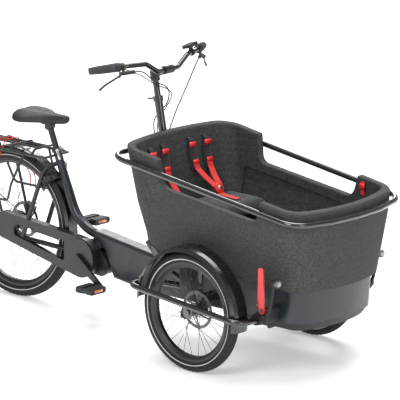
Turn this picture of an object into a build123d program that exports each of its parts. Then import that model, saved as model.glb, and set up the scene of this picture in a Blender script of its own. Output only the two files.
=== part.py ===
"""Three-wheeled cargo bicycle: a foam load box between two front wheels, steered as one unit.

Millimetres. X points forward, Y to the rider's left, Z up. The ground is Z = 0. While drawing,
the front axle line is X = 0; every node is then moved so the middle of the whole length is at X = 0.
Each node is one physical piece, or a set of identical pieces.
"""
import os
from math import atan2, cos, degrees, radians, sin

from build123d import *

# ---------------------------------------------------------------- overall sizes
FRONT_TYRE_R = 254.0       # 20 inch wheel with a 50 mm tyre
REAR_TYRE_R = 333.0        # 26 inch wheel with a 54 mm tyre
TRACK = 754.0              # between the two front wheel centres
WHEELBASE = 1366.0
BUMPER_Y = 440.0           # centre of the bumper tube, outside each wheel
BUMPER_R = 12.5
FENDER_START, FENDER_ARC = -8.0, 184.0

# ---------------------------------------------------------------- clearances
RUN = 0.05                 # radial, shaft in its bearing
GAP = 0.3                  # between neighbours that only nearly touch
FREE = 1.0                 # between parts that pass each other

# ---------------------------------------------------------------- load box
BOX_LOW_Z = 390.0
BOX_KNEE_Z = 640.0
BOX_HIGH_Z = 900.0
BOX_HALF = (262.0, 318.0, 338.0)       # half width at the three heights
BOX_REAR = (-385.0, -430.0, -480.0)    # rear wall
BOX_FRONT = (528.0, 545.0, 560.0)      # middle of the bowed front wall
BOX_BOW = 50.0             # of the front wall
BOX_REAR_BOW = 38.0
BOX_R_REAR = 105.0
BOX_R_FRONT = 95.0
WALL = 35.0
RIM_ROUND = 9.0
RECESS = 12.0              # hollow along the inside of both side walls
BOX_FLOOR = 430.0
LEDGE_Z = 545.0
ARCH_X, ARCH_Z, ARCH_R = -50.0, 225.0, 290.0
ARCH_Y = 236.0             # the wheel arch is hollowed out beyond this
RIM_X, RIM_Z, RIM_SLOPE = -236.0, 850.0, -0.158
SEAT_Z = 600.0
STRAP_Y = (-170.0, -85.0, 85.0, 170.0)
STRAP_Z = 838.0
SLANT = (BOX_REAR[1] - BOX_REAR[2]) / (BOX_HIGH_Z - BOX_KNEE_Z)

# ---------------------------------------------------------------- parking lever
LEVER_Y = -336.0
LEVER_AT = (348.0, 313.0)

# ---------------------------------------------------------------- hand rail
RAIL_D = 25.0
RAIL_REAR, RAIL_FRONT = -484.0, 567.0
RAIL_X, RAIL_Z, RAIL_SLOPE = -460.0, 829.0, -0.141

# ---------------------------------------------------------------- steering and chassis
PIVOT_R = 14.0
HEAD_R = 32.0
HEAD_LOW, HEAD_HIGH = 160.0, 288.0
SILL_Y, SILL_W, SILL_Z, SILL_H = 195.0, 30.0, 278.0, 32.0
SILL_REAR, SILL_FRONT = -198.0, 325.0
PLATE_T = 8.0
STUB_R = 10.0
KNUCKLE_Y = 300.0
SHELL_HALF, SHELL_FRONT = 240.0, 508.0
SHELL_LOW = 250.0
SHELL_T = 3.0

# ---------------------------------------------------------------- rear frame
CRANK_X, CRANK_Z = -912.0, 264.0
CRANK_LEN = 170.0
CRANK_DROP = 36.0          # right crank, degrees below forward
SEAT_TOP = (-1121.0, 690.0)
SEAT_KNEE = (-992.0, 375.0)
SEAT_BEND_R = 200.0
SEAT_R_TOP, SEAT_R_LOW = 17.5, 21.0
BEAM_HALF = 38.0
BEAM_STATIONS = (          # X, bottom Z, top Z
    (-870.0, 338.0, 381.0),
    (-802.0, 300.0, 373.0),
    (-756.0, 190.0, 366.0),
    (-590.0, 168.0, 344.0),
    (-60.0, 165.0, 275.0),
    (0.0, 165.0, 268.0),
)
STAY_R = 11.0
DROP_Y = 66.0
GUARD_R = 338.0
GUARD_T = 2.5
GUARD_START, GUARD_ARC = -5.0, 195.0
AXLE_R = 5.0
CHAIN_Y = -52.0
CASE_IN, CASE_OUT = -46.0, -90.0
CASE_FRONT, CASE_REAR, CASE_T = 88.0, 60.0, 2.5
CASE_DISC, CASE_STEP = 84.0, 7.0
CHEEK_OUT, CHEEK_T = 45.0, 6.0
ARM_IN, ARM_OUT = 94.0, 107.0
SPROCKET_R = 37.0
RING_R = 72.0
SPINDLE_R = 11.0
PEDAL_R = 5.0
POST_R = 13.6

# ---------------------------------------------------------------- rack
RACK_R = 6.5
RACK_TOP = 692.0
RACK_Y, RACK_Z = 78.0, 668.0
RACK_FRONT, RACK_REAR = -1150.0, -1590.0
RACK_LOW_Y, RACK_LOW_Z = 136.0, 464.0

# ---------------------------------------------------------------- handlebar
COLUMN_R_LOW, COLUMN_R_TOP = 18.0, 14.0
CABLE_END = 850.0
COLUMN_GAP = 27.0          # column axis behind the box's rear wall
BAR_R = 11.0
BAR_MID = (-472.0, 1142.0)
BAR_POINTS = ((-472.0, 62.0, 1142.0), (-480.0, 128.0, 1184.0), (-505.0, 215.0, 1186.0), (-590.0, 352.0, 1173.0))

LEVER_ALONG, LEVER_OUT, LEVER_TURN = 46.0, 40.0, 38.0

nodes = {}


# ================================================================ helpers
def box(x0, x1, y0, y1, z0, z1):
    """A block between two corners."""
    low = (min(x0, x1), min(y0, y1), min(z0, z1))
    size = (abs(x1 - x0), abs(y1 - y0), abs(z1 - z0))
    return Pos(*low) * Box(*size, align=(Align.MIN, Align.MIN, Align.MIN))


def rod(start, end, r, r_end=None):
    """A round bar, or a cone when r_end is given, between two points."""
    a, b = Vector(*start), Vector(*end)
    seat = Plane(origin=a, z_dir=(b - a).normalized())
    length = (b - a).length
    low = (Align.CENTER, Align.CENTER, Align.MIN)
    if r_end is None or r_end == r:
        return seat * Cylinder(r, length, align=low)
    return seat * Cone(r, r_end, length, align=low)


def tube(points, bend, r, r_in=0.0):
    """A round tube along straight runs joined by bends."""
    path = FilletPolyline(*points, radius=bend)
    section = Circle(r) - Circle(r_in) if r_in else Circle(r)
    return sweep(Plane(origin=path @ 0, z_dir=path % 0) * section, path=path)


def slab_y(face, y0, y1):
    """Extrude a profile drawn in X and Z from y0 to y1."""
    low = min(y0, y1)
    seat = Plane(origin=(0, low, 0), x_dir=(1, 0, 0), z_dir=(0, -1, 0))
    return extrude(seat * face, amount=-abs(y1 - y0))


def disc_y(x, z, r, y0, y1):
    """A round plate with its axis along Y."""
    return rod((x, y0, z), (x, y1, z), r)


def polygon(*points):
    """A flat face through the points, in order."""
    return make_face(Polyline(*points, close=True))


def spun(profile, x, z, arc=360.0, start=0.0):
    """Turn a profile of (Y, radius) points about the Y axis through x, z.

    An open turn begins start degrees above forward and runs backward over the top.
    """
    face = Plane(origin=(0, 0, 0), x_dir=(0, 1, 0), z_dir=(1, 0, 0)) * profile
    solid = revolve(face, Axis((0, 0, 0), (0, 1, 0)), arc)
    return Pos(x, 0, z) * Rot(0, 90.0 - start - arc, 0) * solid


def hull_of_discs(*discs):
    """The belt-shaped profile round two or more discs given as (x, z, r)."""
    rims = [(Pos(x, z) * Circle(r)).edge() for x, z, r in discs]
    return make_hull(rims)


def save(name, *solids):
    """Keep a node; it may hold several solids."""
    kept = []
    for item in solids:
        for part in (item if isinstance(item, (list, tuple)) else [item]):
            kept += list(part.solids())
    nodes[name] = kept[0] if len(kept) == 1 else Compound(children=kept)


# ================================================================ wheels
def tyre(x, y, z, r_out, r_cross):
    """Tyre carcass standing on the rim flanges."""
    centre = r_out - r_cross
    ring = Pos(0, centre) * (Circle(r_cross) - Circle(r_cross - 4.5))
    open_in = Pos(0, centre - r_cross) * Rectangle(2 * r_cross, 15.0)
    return Pos(0, y, 0) * spun(ring - open_in, x, z)


def rim(x, y, z, r_out, r_cross):
    """Box-section rim up to the foot of the tyre."""
    top = r_out - 2 * r_cross + 7.5
    half = 18.0
    shape = polygon((-half, top), (-half + 4, top), (-half + 4, top - 8), (half - 4, top - 8),
                    (half - 4, top), (half, top), (half, top - 11), (9, top - 24), (-9, top - 24),
                    (-half, top - 11))
    return Pos(0, y, 0) * spun(shape, x, z)


def spokes(x, y, z, r_rim, r_flange, flange_low, flange_high, count):
    """Crossed spokes from both hub flanges to the rim."""
    made = []
    for i in range(count):
        flange = flange_high if i % 2 else flange_low
        lean = 70.0 if (i // 2) % 2 else -70.0
        a = 360.0 * i / count
        h = radians(a + lean)
        t = radians(a)
        foot = (x + r_flange * cos(h), y + flange, z + r_flange * sin(h))
        tip = (x + r_rim * cos(t), y + (3.0 if i % 2 else -3.0), z + r_rim * sin(t))
        made.append(rod(foot, tip, 1.1))
    return made


def rotor(x, y, z, r=80.0):
    """Brake disc with six arms."""
    ring = disc_y(x, z, r, y - 1, y + 1) - disc_y(x, z, r - 14, y - 2, y + 2)
    middle = disc_y(x, z, 24, y - 1, y + 1)
    for i in range(6):
        a = radians(60 * i)
        b = radians(60 * i + 35)
        ring += rod((x + 22 * cos(a), y, z + 22 * sin(a)), (x + (r - 10) * cos(b), y, z + (r - 10) * sin(b)), 4) & \
            box(x - r, x + r, y - 1, y + 1, z - r, z + r)
    return ring + middle


def front_wheel(side, tag):
    """Tyre, rim, spokes and one-sided hub of a front wheel."""
    y = side * TRACK / 2
    z = FRONT_TYRE_R
    r_cross = 25.5
    r_in = FRONT_TYRE_R - 2 * r_cross + 7.5 - 24
    save(f"front_tyre_{tag}", tyre(0, y, z, FRONT_TYRE_R, r_cross))
    save(f"front_rim_{tag}", rim(0, y, z, FRONT_TYRE_R, r_cross))
    save(f"front_spokes_{tag}", spokes(0, y, z, r_in - 2 * GAP, 27.2, -side * 22, side * 22, 28))
    barrel = disc_y(0, z, 15, y - side * 36.8, y + side * 27)
    for at in (-22.0, 22.0):
        barrel += disc_y(0, z, 26, y + side * (at - 2), y + side * (at + 2))
    barrel += disc_y(0, z, 22, y - side * 36.8, y - side * 30)
    cap = disc_y(0, z, 13, y + side * 27, y + side * 32)
    bore = disc_y(0, z, STUB_R + RUN, y - side * 60, y + side * 27)
    disc = rotor(0, y - side * 38, z) - bore
    barrel = barrel - disc_y(0, z, STUB_R + RUN, y - side * 60, y + side * 25)
    save(f"front_hub_{tag}", barrel, cap, disc - disc_y(0, z, 15, y - side * 39, y - side * 37))


def rear_wheel():
    """Rear tyre, rim, spokes and gear hub with sprocket and brake disc."""
    x, z = -WHEELBASE, REAR_TYRE_R
    r_cross = 27.0
    r_in = REAR_TYRE_R - 2 * r_cross + 7.5 - 24
    save("rear_tyre", tyre(x, 0, z, REAR_TYRE_R, r_cross))
    save("rear_rim", rim(x, 0, z, REAR_TYRE_R, r_cross))
    save("rear_spokes", spokes(x, 0, z, r_in - 2 * GAP, 43.2, -26, 26, 32))
    hub = disc_y(x, z, 30, -44, 44)
    for at in (-26.0, 26.0):
        hub += disc_y(x, z, 42, at - 2, at + 2)
    hub += disc_y(x, z, 20, -60, 58)
    bore = disc_y(x, z, AXLE_R + RUN, -70, 70)
    sprocket = disc_y(x, z, SPROCKET_R - GAP, CHAIN_Y - 2, CHAIN_Y + 2) - disc_y(x, z, 20, -90, 0)
    disc = rotor(x, 50, z) - disc_y(x, z, 20, 40, 60)
    save("rear_hub", hub - bore - disc_y(x, z, AXLE_R + RUN, -90, 0), sprocket, disc)


# ================================================================ rear frame


def seat_line(z):
    """X of the seat tube's axis at a height."""
    run = (SEAT_KNEE[0] - SEAT_TOP[0]) / (SEAT_KNEE[1] - SEAT_TOP[1])
    return SEAT_TOP[0] + run * (z - SEAT_TOP[1])


def beam_body():
    """Deep beam from the motor to the head tube under the box."""
    sections = []
    for x, low, high in BEAM_STATIONS:
        plane = Plane(origin=(x, 0, (low + high) / 2), x_dir=(0, 1, 0), z_dir=(1, 0, 0))
        sections.append(plane * RectangleRounded(2 * BEAM_HALF, high - low, min(15.0, (high - low) / 2.5)))
    return loft(sections, ruled=True)


def motor_profile(grow=0.0):
    """Side view of the mid motor."""
    return hull_of_discs((CRANK_X, CRANK_Z, 60 + grow), (-826, 234, 40 + grow))


def seat_mast(grow=0.0):
    """Straight upper part of the seat tube, solid."""
    start = (seat_line(485), 0, 485)
    return rod((SEAT_TOP[0], 0, SEAT_TOP[1]), start, SEAT_R_TOP + grow, SEAT_R_LOW + grow)


def post_bore(z_low):
    """Room for the seat post, from above the seat tube down to z_low."""
    return rod((seat_line(730), 0, 730), (seat_line(z_low), 0, z_low), POST_R + RUN)


def main_frame():
    """Beam, curved seat tube, head tube and motor cheeks, welded into one piece."""
    slope = (BEAM_STATIONS[3][2] - BEAM_STATIONS[1][2]) / (BEAM_STATIONS[3][0] - BEAM_STATIONS[1][0])
    end_x = -800.0
    end_z = SEAT_KNEE[1] - 4 + slope * (end_x - SEAT_KNEE[0])
    bend = [(seat_line(485), 0, 485), (SEAT_KNEE[0], 0, SEAT_KNEE[1]), (end_x, 0, end_z)]
    body = beam_body() + seat_mast() + tube(bend, SEAT_BEND_R * 0.9, SEAT_R_LOW)
    inner = CHEEK_OUT - CHEEK_T
    cheek = slab_y(hull_of_discs((CRANK_X, CRANK_Z, 66), (-826, 236, 46), (-880, 322, 24)), -CHEEK_OUT, CHEEK_OUT)
    body += cheek - slab_y(hull_of_discs((CRANK_X, CRANK_Z, 74), (-826, 236, 60), (-880, 322, 40)), -inner, inner)
    body += slab_y(hull_of_discs((-880, 326, 14), (-838, 326, 18)), -CHEEK_OUT, CHEEK_OUT)
    body += rod((0, 0, HEAD_LOW), (0, 0, HEAD_HIGH), HEAD_R)
    body -= rod((0, 0, HEAD_LOW - 1), (0, 0, HEAD_HIGH + 1), PIVOT_R + RUN)
    body -= disc_y(CRANK_X, CRANK_Z, 26 + GAP, -60, 60)
    body -= slab_y(motor_profile(GAP), -inner, inner)
    return body - post_bore(500)


def motor_unit():
    """Mid motor with the housings of its crank bearings."""
    inner = CHEEK_OUT - CHEEK_T - GAP
    body = slab_y(motor_profile(), -inner, inner)
    body += disc_y(CRANK_X, CRANK_Z, 26, -CHEEK_OUT, ARM_IN - 12)
    return body - disc_y(CRANK_X, CRANK_Z, SPINDLE_R + RUN, -60, 100)


def lower_stay(side, grow=0.0):
    """Chain stay; on the right it runs between the two runs of the chain."""
    return rod((-950.0, side * 35.0, 271.0), (-1325.0, side * (DROP_Y + 4), 291.0), STAY_R + grow)


def upper_stay(side, grow=0.0):
    """Seat stay with its bend in to the seat tube."""
    top = [(seat_line(642), side * 8.0, 642.0), (-1136.0, side * 68.0, 614.0), (-1262.0, side * 71.0, 298.0)]
    return tube(top, 30.0, STAY_R - 1 + grow)


def dropout_face(grow=0.0):
    """Side view of a dropout plate."""
    return hull_of_discs((-1268, 292, 12 + grow), (-1330, 292, 13 + grow), (-WHEELBASE, REAR_TYRE_R, 18 + grow))


def rear_triangle():
    """Stays, dropouts and rear axle, trimmed where they meet the main frame."""
    inner = CHEEK_OUT - CHEEK_T
    whole = disc_y(-WHEELBASE, REAR_TYRE_R, AXLE_R, -DROP_Y - 12, DROP_Y + 12)
    for side in (-1, 1):
        whole += lower_stay(side) + upper_stay(side)
        whole += slab_y(dropout_face(), side * (DROP_Y - 4), side * (DROP_Y + 4))
    whole = whole - main_frame() - seat_mast() - slab_y(motor_profile(GAP), -inner, inner)
    whole -= disc_y(CRANK_X, CRANK_Z, 26 + GAP, -60, 60)
    return whole.solids().sort_by(SortBy.VOLUME)[-1]


def chaincase():
    """Chain cover open toward the frame: a round front and an arm along each run of the chain."""
    front, back = (CRANK_X, CRANK_Z), (-WHEELBASE, REAR_TYRE_R)
    outer = hull_of_discs((*front, CASE_FRONT), (*back, CASE_REAR))
    inner = hull_of_discs((*front, CASE_FRONT - CASE_T), (*back, CASE_REAR - CASE_T))
    opening = polygon((-1004, 233), (-1004, 325), (-1306, 350), (-1306, 298))
    opening = fillet(opening.vertices(), 12)
    frame = offset(opening, CASE_T)
    case = slab_y(outer, CASE_IN, CASE_OUT + CASE_STEP)
    case -= slab_y(inner, CASE_IN + 5, CASE_OUT + CASE_STEP + CASE_T)
    case += slab_y(frame, CASE_IN - 14, CASE_OUT + CASE_STEP)
    case -= slab_y(opening, CASE_IN + 5, CASE_OUT - 5)
    case += disc_y(*front, CASE_DISC, CASE_OUT, CASE_OUT + CASE_STEP)
    case -= disc_y(*front, SPINDLE_R + 10, -100, 0)
    case -= slab_y(hull_of_discs((*front, 67), (-826, 236, 47), (-880, 322, 25)), CASE_IN + 5, -CHEEK_OUT - FREE)
    for grown in (lower_stay(-1, GAP), upper_stay(-1, GAP), rack_leg(-1, GAP), guard_stay(-1, GAP)):
        case -= grown
    case -= slab_y(dropout_face(GAP), -DROP_Y + 5, -DROP_Y - 4 - GAP)
    return case.solids().sort_by(SortBy.VOLUME)[-1]


def chain():
    """Chain as a closed band round chainring and sprocket."""
    outer = hull_of_discs((CRANK_X, CRANK_Z, RING_R + 6), (-WHEELBASE, REAR_TYRE_R, SPROCKET_R + 6))
    inner = hull_of_discs((CRANK_X, CRANK_Z, RING_R), (-WHEELBASE, REAR_TYRE_R, SPROCKET_R))
    band = slab_y(outer, CHAIN_Y - 3.5, CHAIN_Y + 3.5)
    return band - slab_y(inner, CHAIN_Y - 5, CHAIN_Y + 5)


def rear_mudguard():
    """Rolled mudguard over the rear wheel."""
    skin = polygon((-33, GUARD_R - 13), (-31, GUARD_R - 13), (-25, GUARD_R), (25, GUARD_R),
                   (31, GUARD_R - 13), (33, GUARD_R - 13), (26, GUARD_R + GUARD_T), (-26, GUARD_R + GUARD_T))
    return spun(skin, -WHEELBASE, REAR_TYRE_R, GUARD_ARC, GUARD_START)


def guard_stay(side, grow=0.0):
    """Two wires from one eyelet beside the dropout to the guard's edge."""
    foot = (-WHEELBASE - 17, side * (DROP_Y + 7.6), REAR_TYRE_R - 1)
    made = disc_y(foot[0], foot[2], 4.5 + grow, foot[1] - 3.2 - grow, foot[1] + 3.2 + grow)
    for deg in (150.0, 186.0):
        r = GUARD_R - 8
        tip = (-WHEELBASE + r * cos(radians(deg)), side * 35.4, REAR_TYRE_R + r * sin(radians(deg)))
        made += rod(foot, tip, 2.2 + grow)
    return made


def rack_leg(side, grow=0.0):
    """Rack leg down to the dropout, with its flattened foot."""
    y = side * (DROP_Y + 10.5)
    leg = [(-1445, side * RACK_Y, RACK_Z), (-1445, side * RACK_Y, 600), (-1374, y, 352)]
    foot = slab_y(hull_of_discs((-1374, 352, 9 + grow), (-1368, 336, 9 + grow)), side * (DROP_Y + 4 + GAP),
                  side * (DROP_Y + 12))
    return tube(leg, 30.0, RACK_R + grow) - disc_y(-1370, 345, 40, side * DROP_Y, side * (DROP_Y + 4 + GAP)) + foot


def rear_rack():
    """Tubular rack with a lower rail on each side for bags."""
    whole = None
    for side in (-1, 1):
        y, low_y = side * RACK_Y, side * RACK_LOW_Y
        limb = rod((RACK_FRONT, y, RACK_Z), (RACK_REAR, y, RACK_Z), RACK_R)
        low = [(-1245, y, RACK_Z), (-1268, low_y, 540), (-1290, low_y, RACK_LOW_Z), (-1510, low_y, RACK_LOW_Z),
               (-1560, y, RACK_Z)]
        limb += tube(low, 24.0, RACK_R - 1) + rack_leg(side)
        neck = [(RACK_FRONT, y, RACK_Z), (-1120, side * 70, RACK_Z + 2), (seat_line(672) - 4, side * 12, RACK_Z + 4)]
        limb += tube(neck, 10.0, RACK_R - 1) + Pos(*neck[0]) * Sphere(RACK_R + 0.5)
        whole = limb if whole is None else whole + limb
    for x in (-1200, -1330, -1460, RACK_REAR):
        arch = [(x, -RACK_Y, RACK_Z), (x, -56, RACK_TOP), (x, 56, RACK_TOP), (x, RACK_Y, RACK_Z)]
        whole += tube(arch, 14.0, RACK_R - 1.5)
    for y in (-28, 28):
        whole += rod((-1200, y, RACK_TOP), (RACK_REAR, y, RACK_TOP), RACK_R - 2)
    whole -= disc_y(-WHEELBASE, REAR_TYRE_R, AXLE_R, -90, 90)
    return (whole - seat_mast()).solids().sort_by(SortBy.VOLUME)[-1]


def rack_straps():
    """Two elastic straps pulled over the rack to its lower rails."""
    made = []
    for x in (-1395.0, -1425.0):
        for side in (-1, 1):
            top = RACK_TOP + 8
            y0, y1 = side * 40, side * (RACK_LOW_Y + RACK_R + 2.8)
            run = [(x, 0, top), (x, y0, top), (x, y1, RACK_LOW_Z + 40), (x, y1, RACK_LOW_Z - 12)]
            made.append(tube(run, 12.0, 2.5))
    return made


def ring_lock():
    """Ring lock across the rear wheel, with a key cylinder on the right."""
    a = radians(44.0)
    r = 309.0
    centre = (-WHEELBASE + r * cos(a), 0, REAR_TYRE_R + r * sin(a))
    seat = Plane(origin=centre, x_dir=Vector(cos(a), 0, sin(a)), z_dir=Vector(-sin(a), 0, cos(a)))
    ring = Circle(60) - Circle(47) - Pos(-50, 0) * Rectangle(50, 70)
    ring += Pos(52, 0) * Rectangle(14, 40)
    body = extrude(seat * ring, amount=11, both=True)
    body += seat * Pos(34, -56, 0) * Cylinder(17, 24)
    for side in (-1, 1):
        body += seat * Pos(14, side * 62, 0) * Box(16, 14, 14)
        body -= upper_stay(side)
    return (body - seat_mast(GAP)).solids().sort_by(SortBy.VOLUME)[-1]


def tail_light():
    """Tail lamp at the back end of the rack."""
    return box(RACK_REAR - 24, RACK_REAR - RACK_R - GAP, -36, 36, RACK_Z - 14, RACK_Z + 22)


def rear_caliper():
    """Rear brake caliper on the left dropout."""
    a = radians(62.0)
    x = -WHEELBASE + 70 * cos(a)
    z = REAR_TYRE_R + 70 * sin(a)
    body = Pos(x, 50, z) * Rot(0, -62, 0) * Box(26, 23, 52)
    body -= disc_y(-WHEELBASE, REAR_TYRE_R, 81, 48.2, 51.8)
    arm = slab_y(hull_of_discs((x, z, 9), (-1345, 352, 9)), 57, DROP_Y - 4)
    return body + (arm - disc_y(-WHEELBASE, REAR_TYRE_R, 22, 40, 80))


def seat_clamp():
    """Collar on the seat tube's top."""
    ring = rod((seat_line(702), 0, 702), (seat_line(684), 0, 684), SEAT_R_TOP + 5)
    lug = Pos(seat_line(692) + 23, 0, 697) * Rot(0, 21, 0) * Box(16, 20, 16)
    upper = rod((seat_line(720), 0, 720), (seat_line(690.2), 0, 690.2), POST_R + 0.5)
    whole = ring + lug - disc_y(seat_line(697) + 26, 697, 3.5 + RUN, -30, 30)
    return whole - seat_mast(0.1) - upper - post_bore(680)


def saddle_post():
    """Seat post sliding in the seat tube."""
    head = (seat_line(786), 0, 786)
    stem = rod((seat_line(520), 0, 520), head, POST_R)
    return stem + disc_y(seat_line(790), 792, 15, -19, 19)


def saddle_rails():
    """Two saddle rails with their clamp."""
    x0 = seat_line(790)
    cradle = box(x0 - 26, x0 + 26, -26, 26, 801, 813)
    for side in (-1, 1):
        run = [(-1275, side * 34, 826), (-1240, side * 22, 806), (-1130, side * 22, 806), (-1090, side * 12, 826)]
        cradle += tube(run, 18.0, 3.5)
    return cradle - saddle_post()


def saddle_top():
    """Padded saddle, wide at the back."""
    stations = (  # X, half width, middle Z, half height
        (-1324, 34, 838, 8),
        (-1308, 92, 835, 18),
        (-1262, 110, 833, 22),
        (-1205, 84, 834, 20),
        (-1150, 44, 834, 17),
        (-1085, 26, 838, 13),
        (-1052, 16, 841, 8),
    )
    sections = []
    for x, half, mid, high in stations:
        plane = Plane(origin=(x, 0, mid), x_dir=(0, 1, 0), z_dir=(1, 0, 0))
        sections.append(plane * Ellipse(half, high))
    return loft(sections, ruled=False) - saddle_rails()


def seat_lever():
    """Quick release lever of the seat clamp."""
    z = 697.0
    x = seat_line(z) + 26
    bolt = disc_y(x, z, 3.5, -20.5, 14)
    return bolt + slab_y(hull_of_discs((x, z, 6), (x + 16, z - 34, 4.5)), -20.5, -27)


def crank_set():
    """Spindle, chainring and two crank arms."""
    c, s = cos(radians(CRANK_DROP)), sin(radians(CRANK_DROP))
    whole = disc_y(CRANK_X, CRANK_Z, SPINDLE_R, -ARM_OUT - 1, ARM_OUT + 1)
    whole += disc_y(CRANK_X, CRANK_Z, 20, CHAIN_Y + 2, -ARM_IN)
    ring = disc_y(CRANK_X, CRANK_Z, RING_R - GAP, CHAIN_Y - 2, CHAIN_Y + 2)
    for i in range(5):
        a = radians(72 * i)
        ring -= disc_y(CRANK_X + 44 * cos(a), CRANK_Z + 44 * sin(a), 15, CHAIN_Y - 5, CHAIN_Y + 5)
    whole += ring
    for side in (-1, 1):
        ex = CRANK_X - side * CRANK_LEN * c
        ez = CRANK_Z + side * CRANK_LEN * s
        whole += slab_y(hull_of_discs((CRANK_X, CRANK_Z, 17), (ex, ez, 11)), side * ARM_IN, side * ARM_OUT)
        whole += disc_y(ex, ez, PEDAL_R, side * (ARM_IN + 6), side * 190)
    return whole


def pedal(side):
    """Flat pedal with two treads, turning on its axle."""
    ex = CRANK_X - side * CRANK_LEN * cos(radians(CRANK_DROP))
    ez = CRANK_Z + side * CRANK_LEN * sin(radians(CRANK_DROP))
    y0, y1 = side * 110, side * 206
    barrel = disc_y(ex, ez, 11, y0, y1)
    frame = box(ex - 46, ex + 46, y0 + side * 4, y1, ez - 9, ez + 9)
    frame -= box(ex - 38, ex + 38, y0 + side * 16, y1 - side * 14, ez - 20, ez + 20)
    treads = None
    for at in (-29, 29):
        tread = box(ex + at - 17, ex + at + 17, y0 + side * 8, y1 - side * 4, ez - 13, ez + 13)
        treads = tread if treads is None else treads + tread
    bore = disc_y(ex, ez, PEDAL_R + RUN, side * 90, side * 194.5)
    return frame + treads + barrel - bore


# ================================================================ front unit: box
def wall_at(z):
    """Half width, rear and front of the box's outer face at a height."""
    levels = (BOX_LOW_Z, BOX_KNEE_Z, BOX_HIGH_Z)
    i = 0 if z <= BOX_KNEE_Z else 1
    t = (z - levels[i]) / (levels[i + 1] - levels[i])
    return tuple(v[i] + t * (v[i + 1] - v[i]) for v in (BOX_HALF, BOX_REAR, BOX_FRONT))


def outline(half, rear, front, r_rear=BOX_R_REAR, r_front=BOX_R_FRONT, bow=BOX_BOW, rear_bow=BOX_REAR_BOW):
    """Plan outline with bowed ends and rounded corners."""
    side, back = front - bow, rear + rear_bow
    edges = [Line((back, half), (side, half)), Line((side, -half), (back, -half))]
    edges.append(ThreePointArc((side, half), (front, 0), (side, -half)))
    tail = [(back, -half), (rear, 0), (back, half)]
    edges.append(ThreePointArc(*tail) if rear_bow else Line(tail[0], tail[2]))
    face = make_face(Curve() + edges)
    face = fillet(face.vertices().sort_by(Axis.X)[:2], r_rear)
    return fillet(face.vertices().sort_by(Axis.X)[-2:], r_front)


def box_loft(grow, low, high):
    """Solid inside the box's outer face moved outward by grow."""
    levels = [low] + [z for z in (BOX_KNEE_Z,) if low < z < high] + [high]
    sections = []
    for z in levels:
        half, rear, front = wall_at(z)
        face = outline(half + grow, rear - grow, front + grow, BOX_R_REAR + grow, BOX_R_FRONT + grow)
        sections.append(Pos(0, 0, z) * face)
    return loft(sections, ruled=True)


def rim_z(x):
    """Height of the box's rim."""
    return RIM_Z + RIM_SLOPE * (x - RIM_X)


def above_rim(drop=0.0):
    """Everything above the rim."""
    return slab_y(polygon((-700, rim_z(-700) - drop), (800, rim_z(800) - drop), (800, 1400), (-700, 1400)),
                  -500, 500)


def window():
    """Low edge of both side walls, under the hand rail."""
    face = polygon((-245, 950), (-214, 732), (296, 668), (345, 850), (345, 950))
    face = fillet(face.vertices().sort_by(Axis.Y)[:2], 38)
    return slab_y(face, -500, 500)


def arch(r, y_from):
    """Both wheel arches as solids of radius r, beyond y_from."""
    return [disc_y(ARCH_X, ARCH_Z, r, side * y_from, side * 500) for side in (-1, 1)]


def recess():
    """Long shallow hollow inside both side walls, under the window."""
    face = polygon((-300, 706), (336, 622), (336, 568), (-300, 568))
    face = fillet(face.vertices(), 18)
    return slab_y(face, -500, 500) & box_loft(RECESS - WALL, LEDGE_Z, BOX_HIGH_Z)


def soft_rim(body):
    """Round every edge round the top of the box, above the inside hollow."""
    low = rim_z(BOX_FRONT[2]) - 70
    edges = [e for e in body.edges() if min((e @ t).Z for t in (0, 0.5, 1)) > low]
    return fillet(edges, RIM_ROUND)


def box_shell():
    """Thick foam load box."""
    body = box_loft(0, BOX_LOW_Z, BOX_HIGH_Z)
    half, rear, front = wall_at(BOX_FLOOR)
    pocket = outline(208, rear + WALL + 6, front - WALL, 30, 60, BOX_BOW, 0)
    body -= box_loft(-WALL, LEDGE_Z, BOX_HIGH_Z)
    body -= Pos(0, 0, BOX_FLOOR) * extrude(pocket, LEDGE_Z - BOX_FLOOR + 1)
    body -= above_rim()
    body -= window()
    body = soft_rim(body) - recess()
    for cut in arch(ARCH_R, ARCH_Y):
        body -= cut
    for y in STRAP_Y:
        body -= box(-520, -400, y - 17, y + 17, STRAP_Z - 6, STRAP_Z + 6)
    return body


def bench():
    """Two-place seat resting on the ledges."""
    half, rear, front = wall_at(LEDGE_Z)
    seat = box(rear + WALL + 14, -140, -half + WALL + 2, half - WALL - 2, LEDGE_Z, SEAT_Z)
    seat = seat & box_loft(-WALL - GAP, LEDGE_Z, SEAT_Z + 50)
    return fillet(seat.edges().filter_by(Axis.Y).sort_by(Axis.X)[-1:], 14)


def inner_rear(z, y=0.0):
    """X of the inner face of the bowed rear wall."""
    half, rear, front = wall_at(z)
    return rear + WALL + BOX_REAR_BOW * (y / (half - WALL)) ** 2


def on_rear_wall(y, z, off, size):
    """A thin block lying along the rear wall, off in front of it."""
    tilt = degrees(atan2(SLANT, 1.0))
    return Pos(inner_rear(z, y) + off, y, z) * Rot(0, -tilt, 0) * Box(*size)


def harness_straps():
    """Shoulder webbing down the back wall, a crotch strap for each seat, a loop at the front."""
    made = []
    top, low = STRAP_Z - 12, SEAT_Z + 78
    for y in STRAP_Y:
        made.append(on_rear_wall(y, (top + low) / 2, 6, (3, 26, top - low)))
    for y in (-127.5, 127.5):
        made.append(box(-330, -215, y - 13, y + 13, SEAT_Z + GAP, SEAT_Z + 3 + GAP))
    made.append(box(349, 371, 281, 284, 684, 742))
    return made


def harness_pads():
    """Shoulder pads over the webbing."""
    return [on_rear_wall(y, 745.0, 14, (9, 44, 96)) for y in STRAP_Y]


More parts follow.
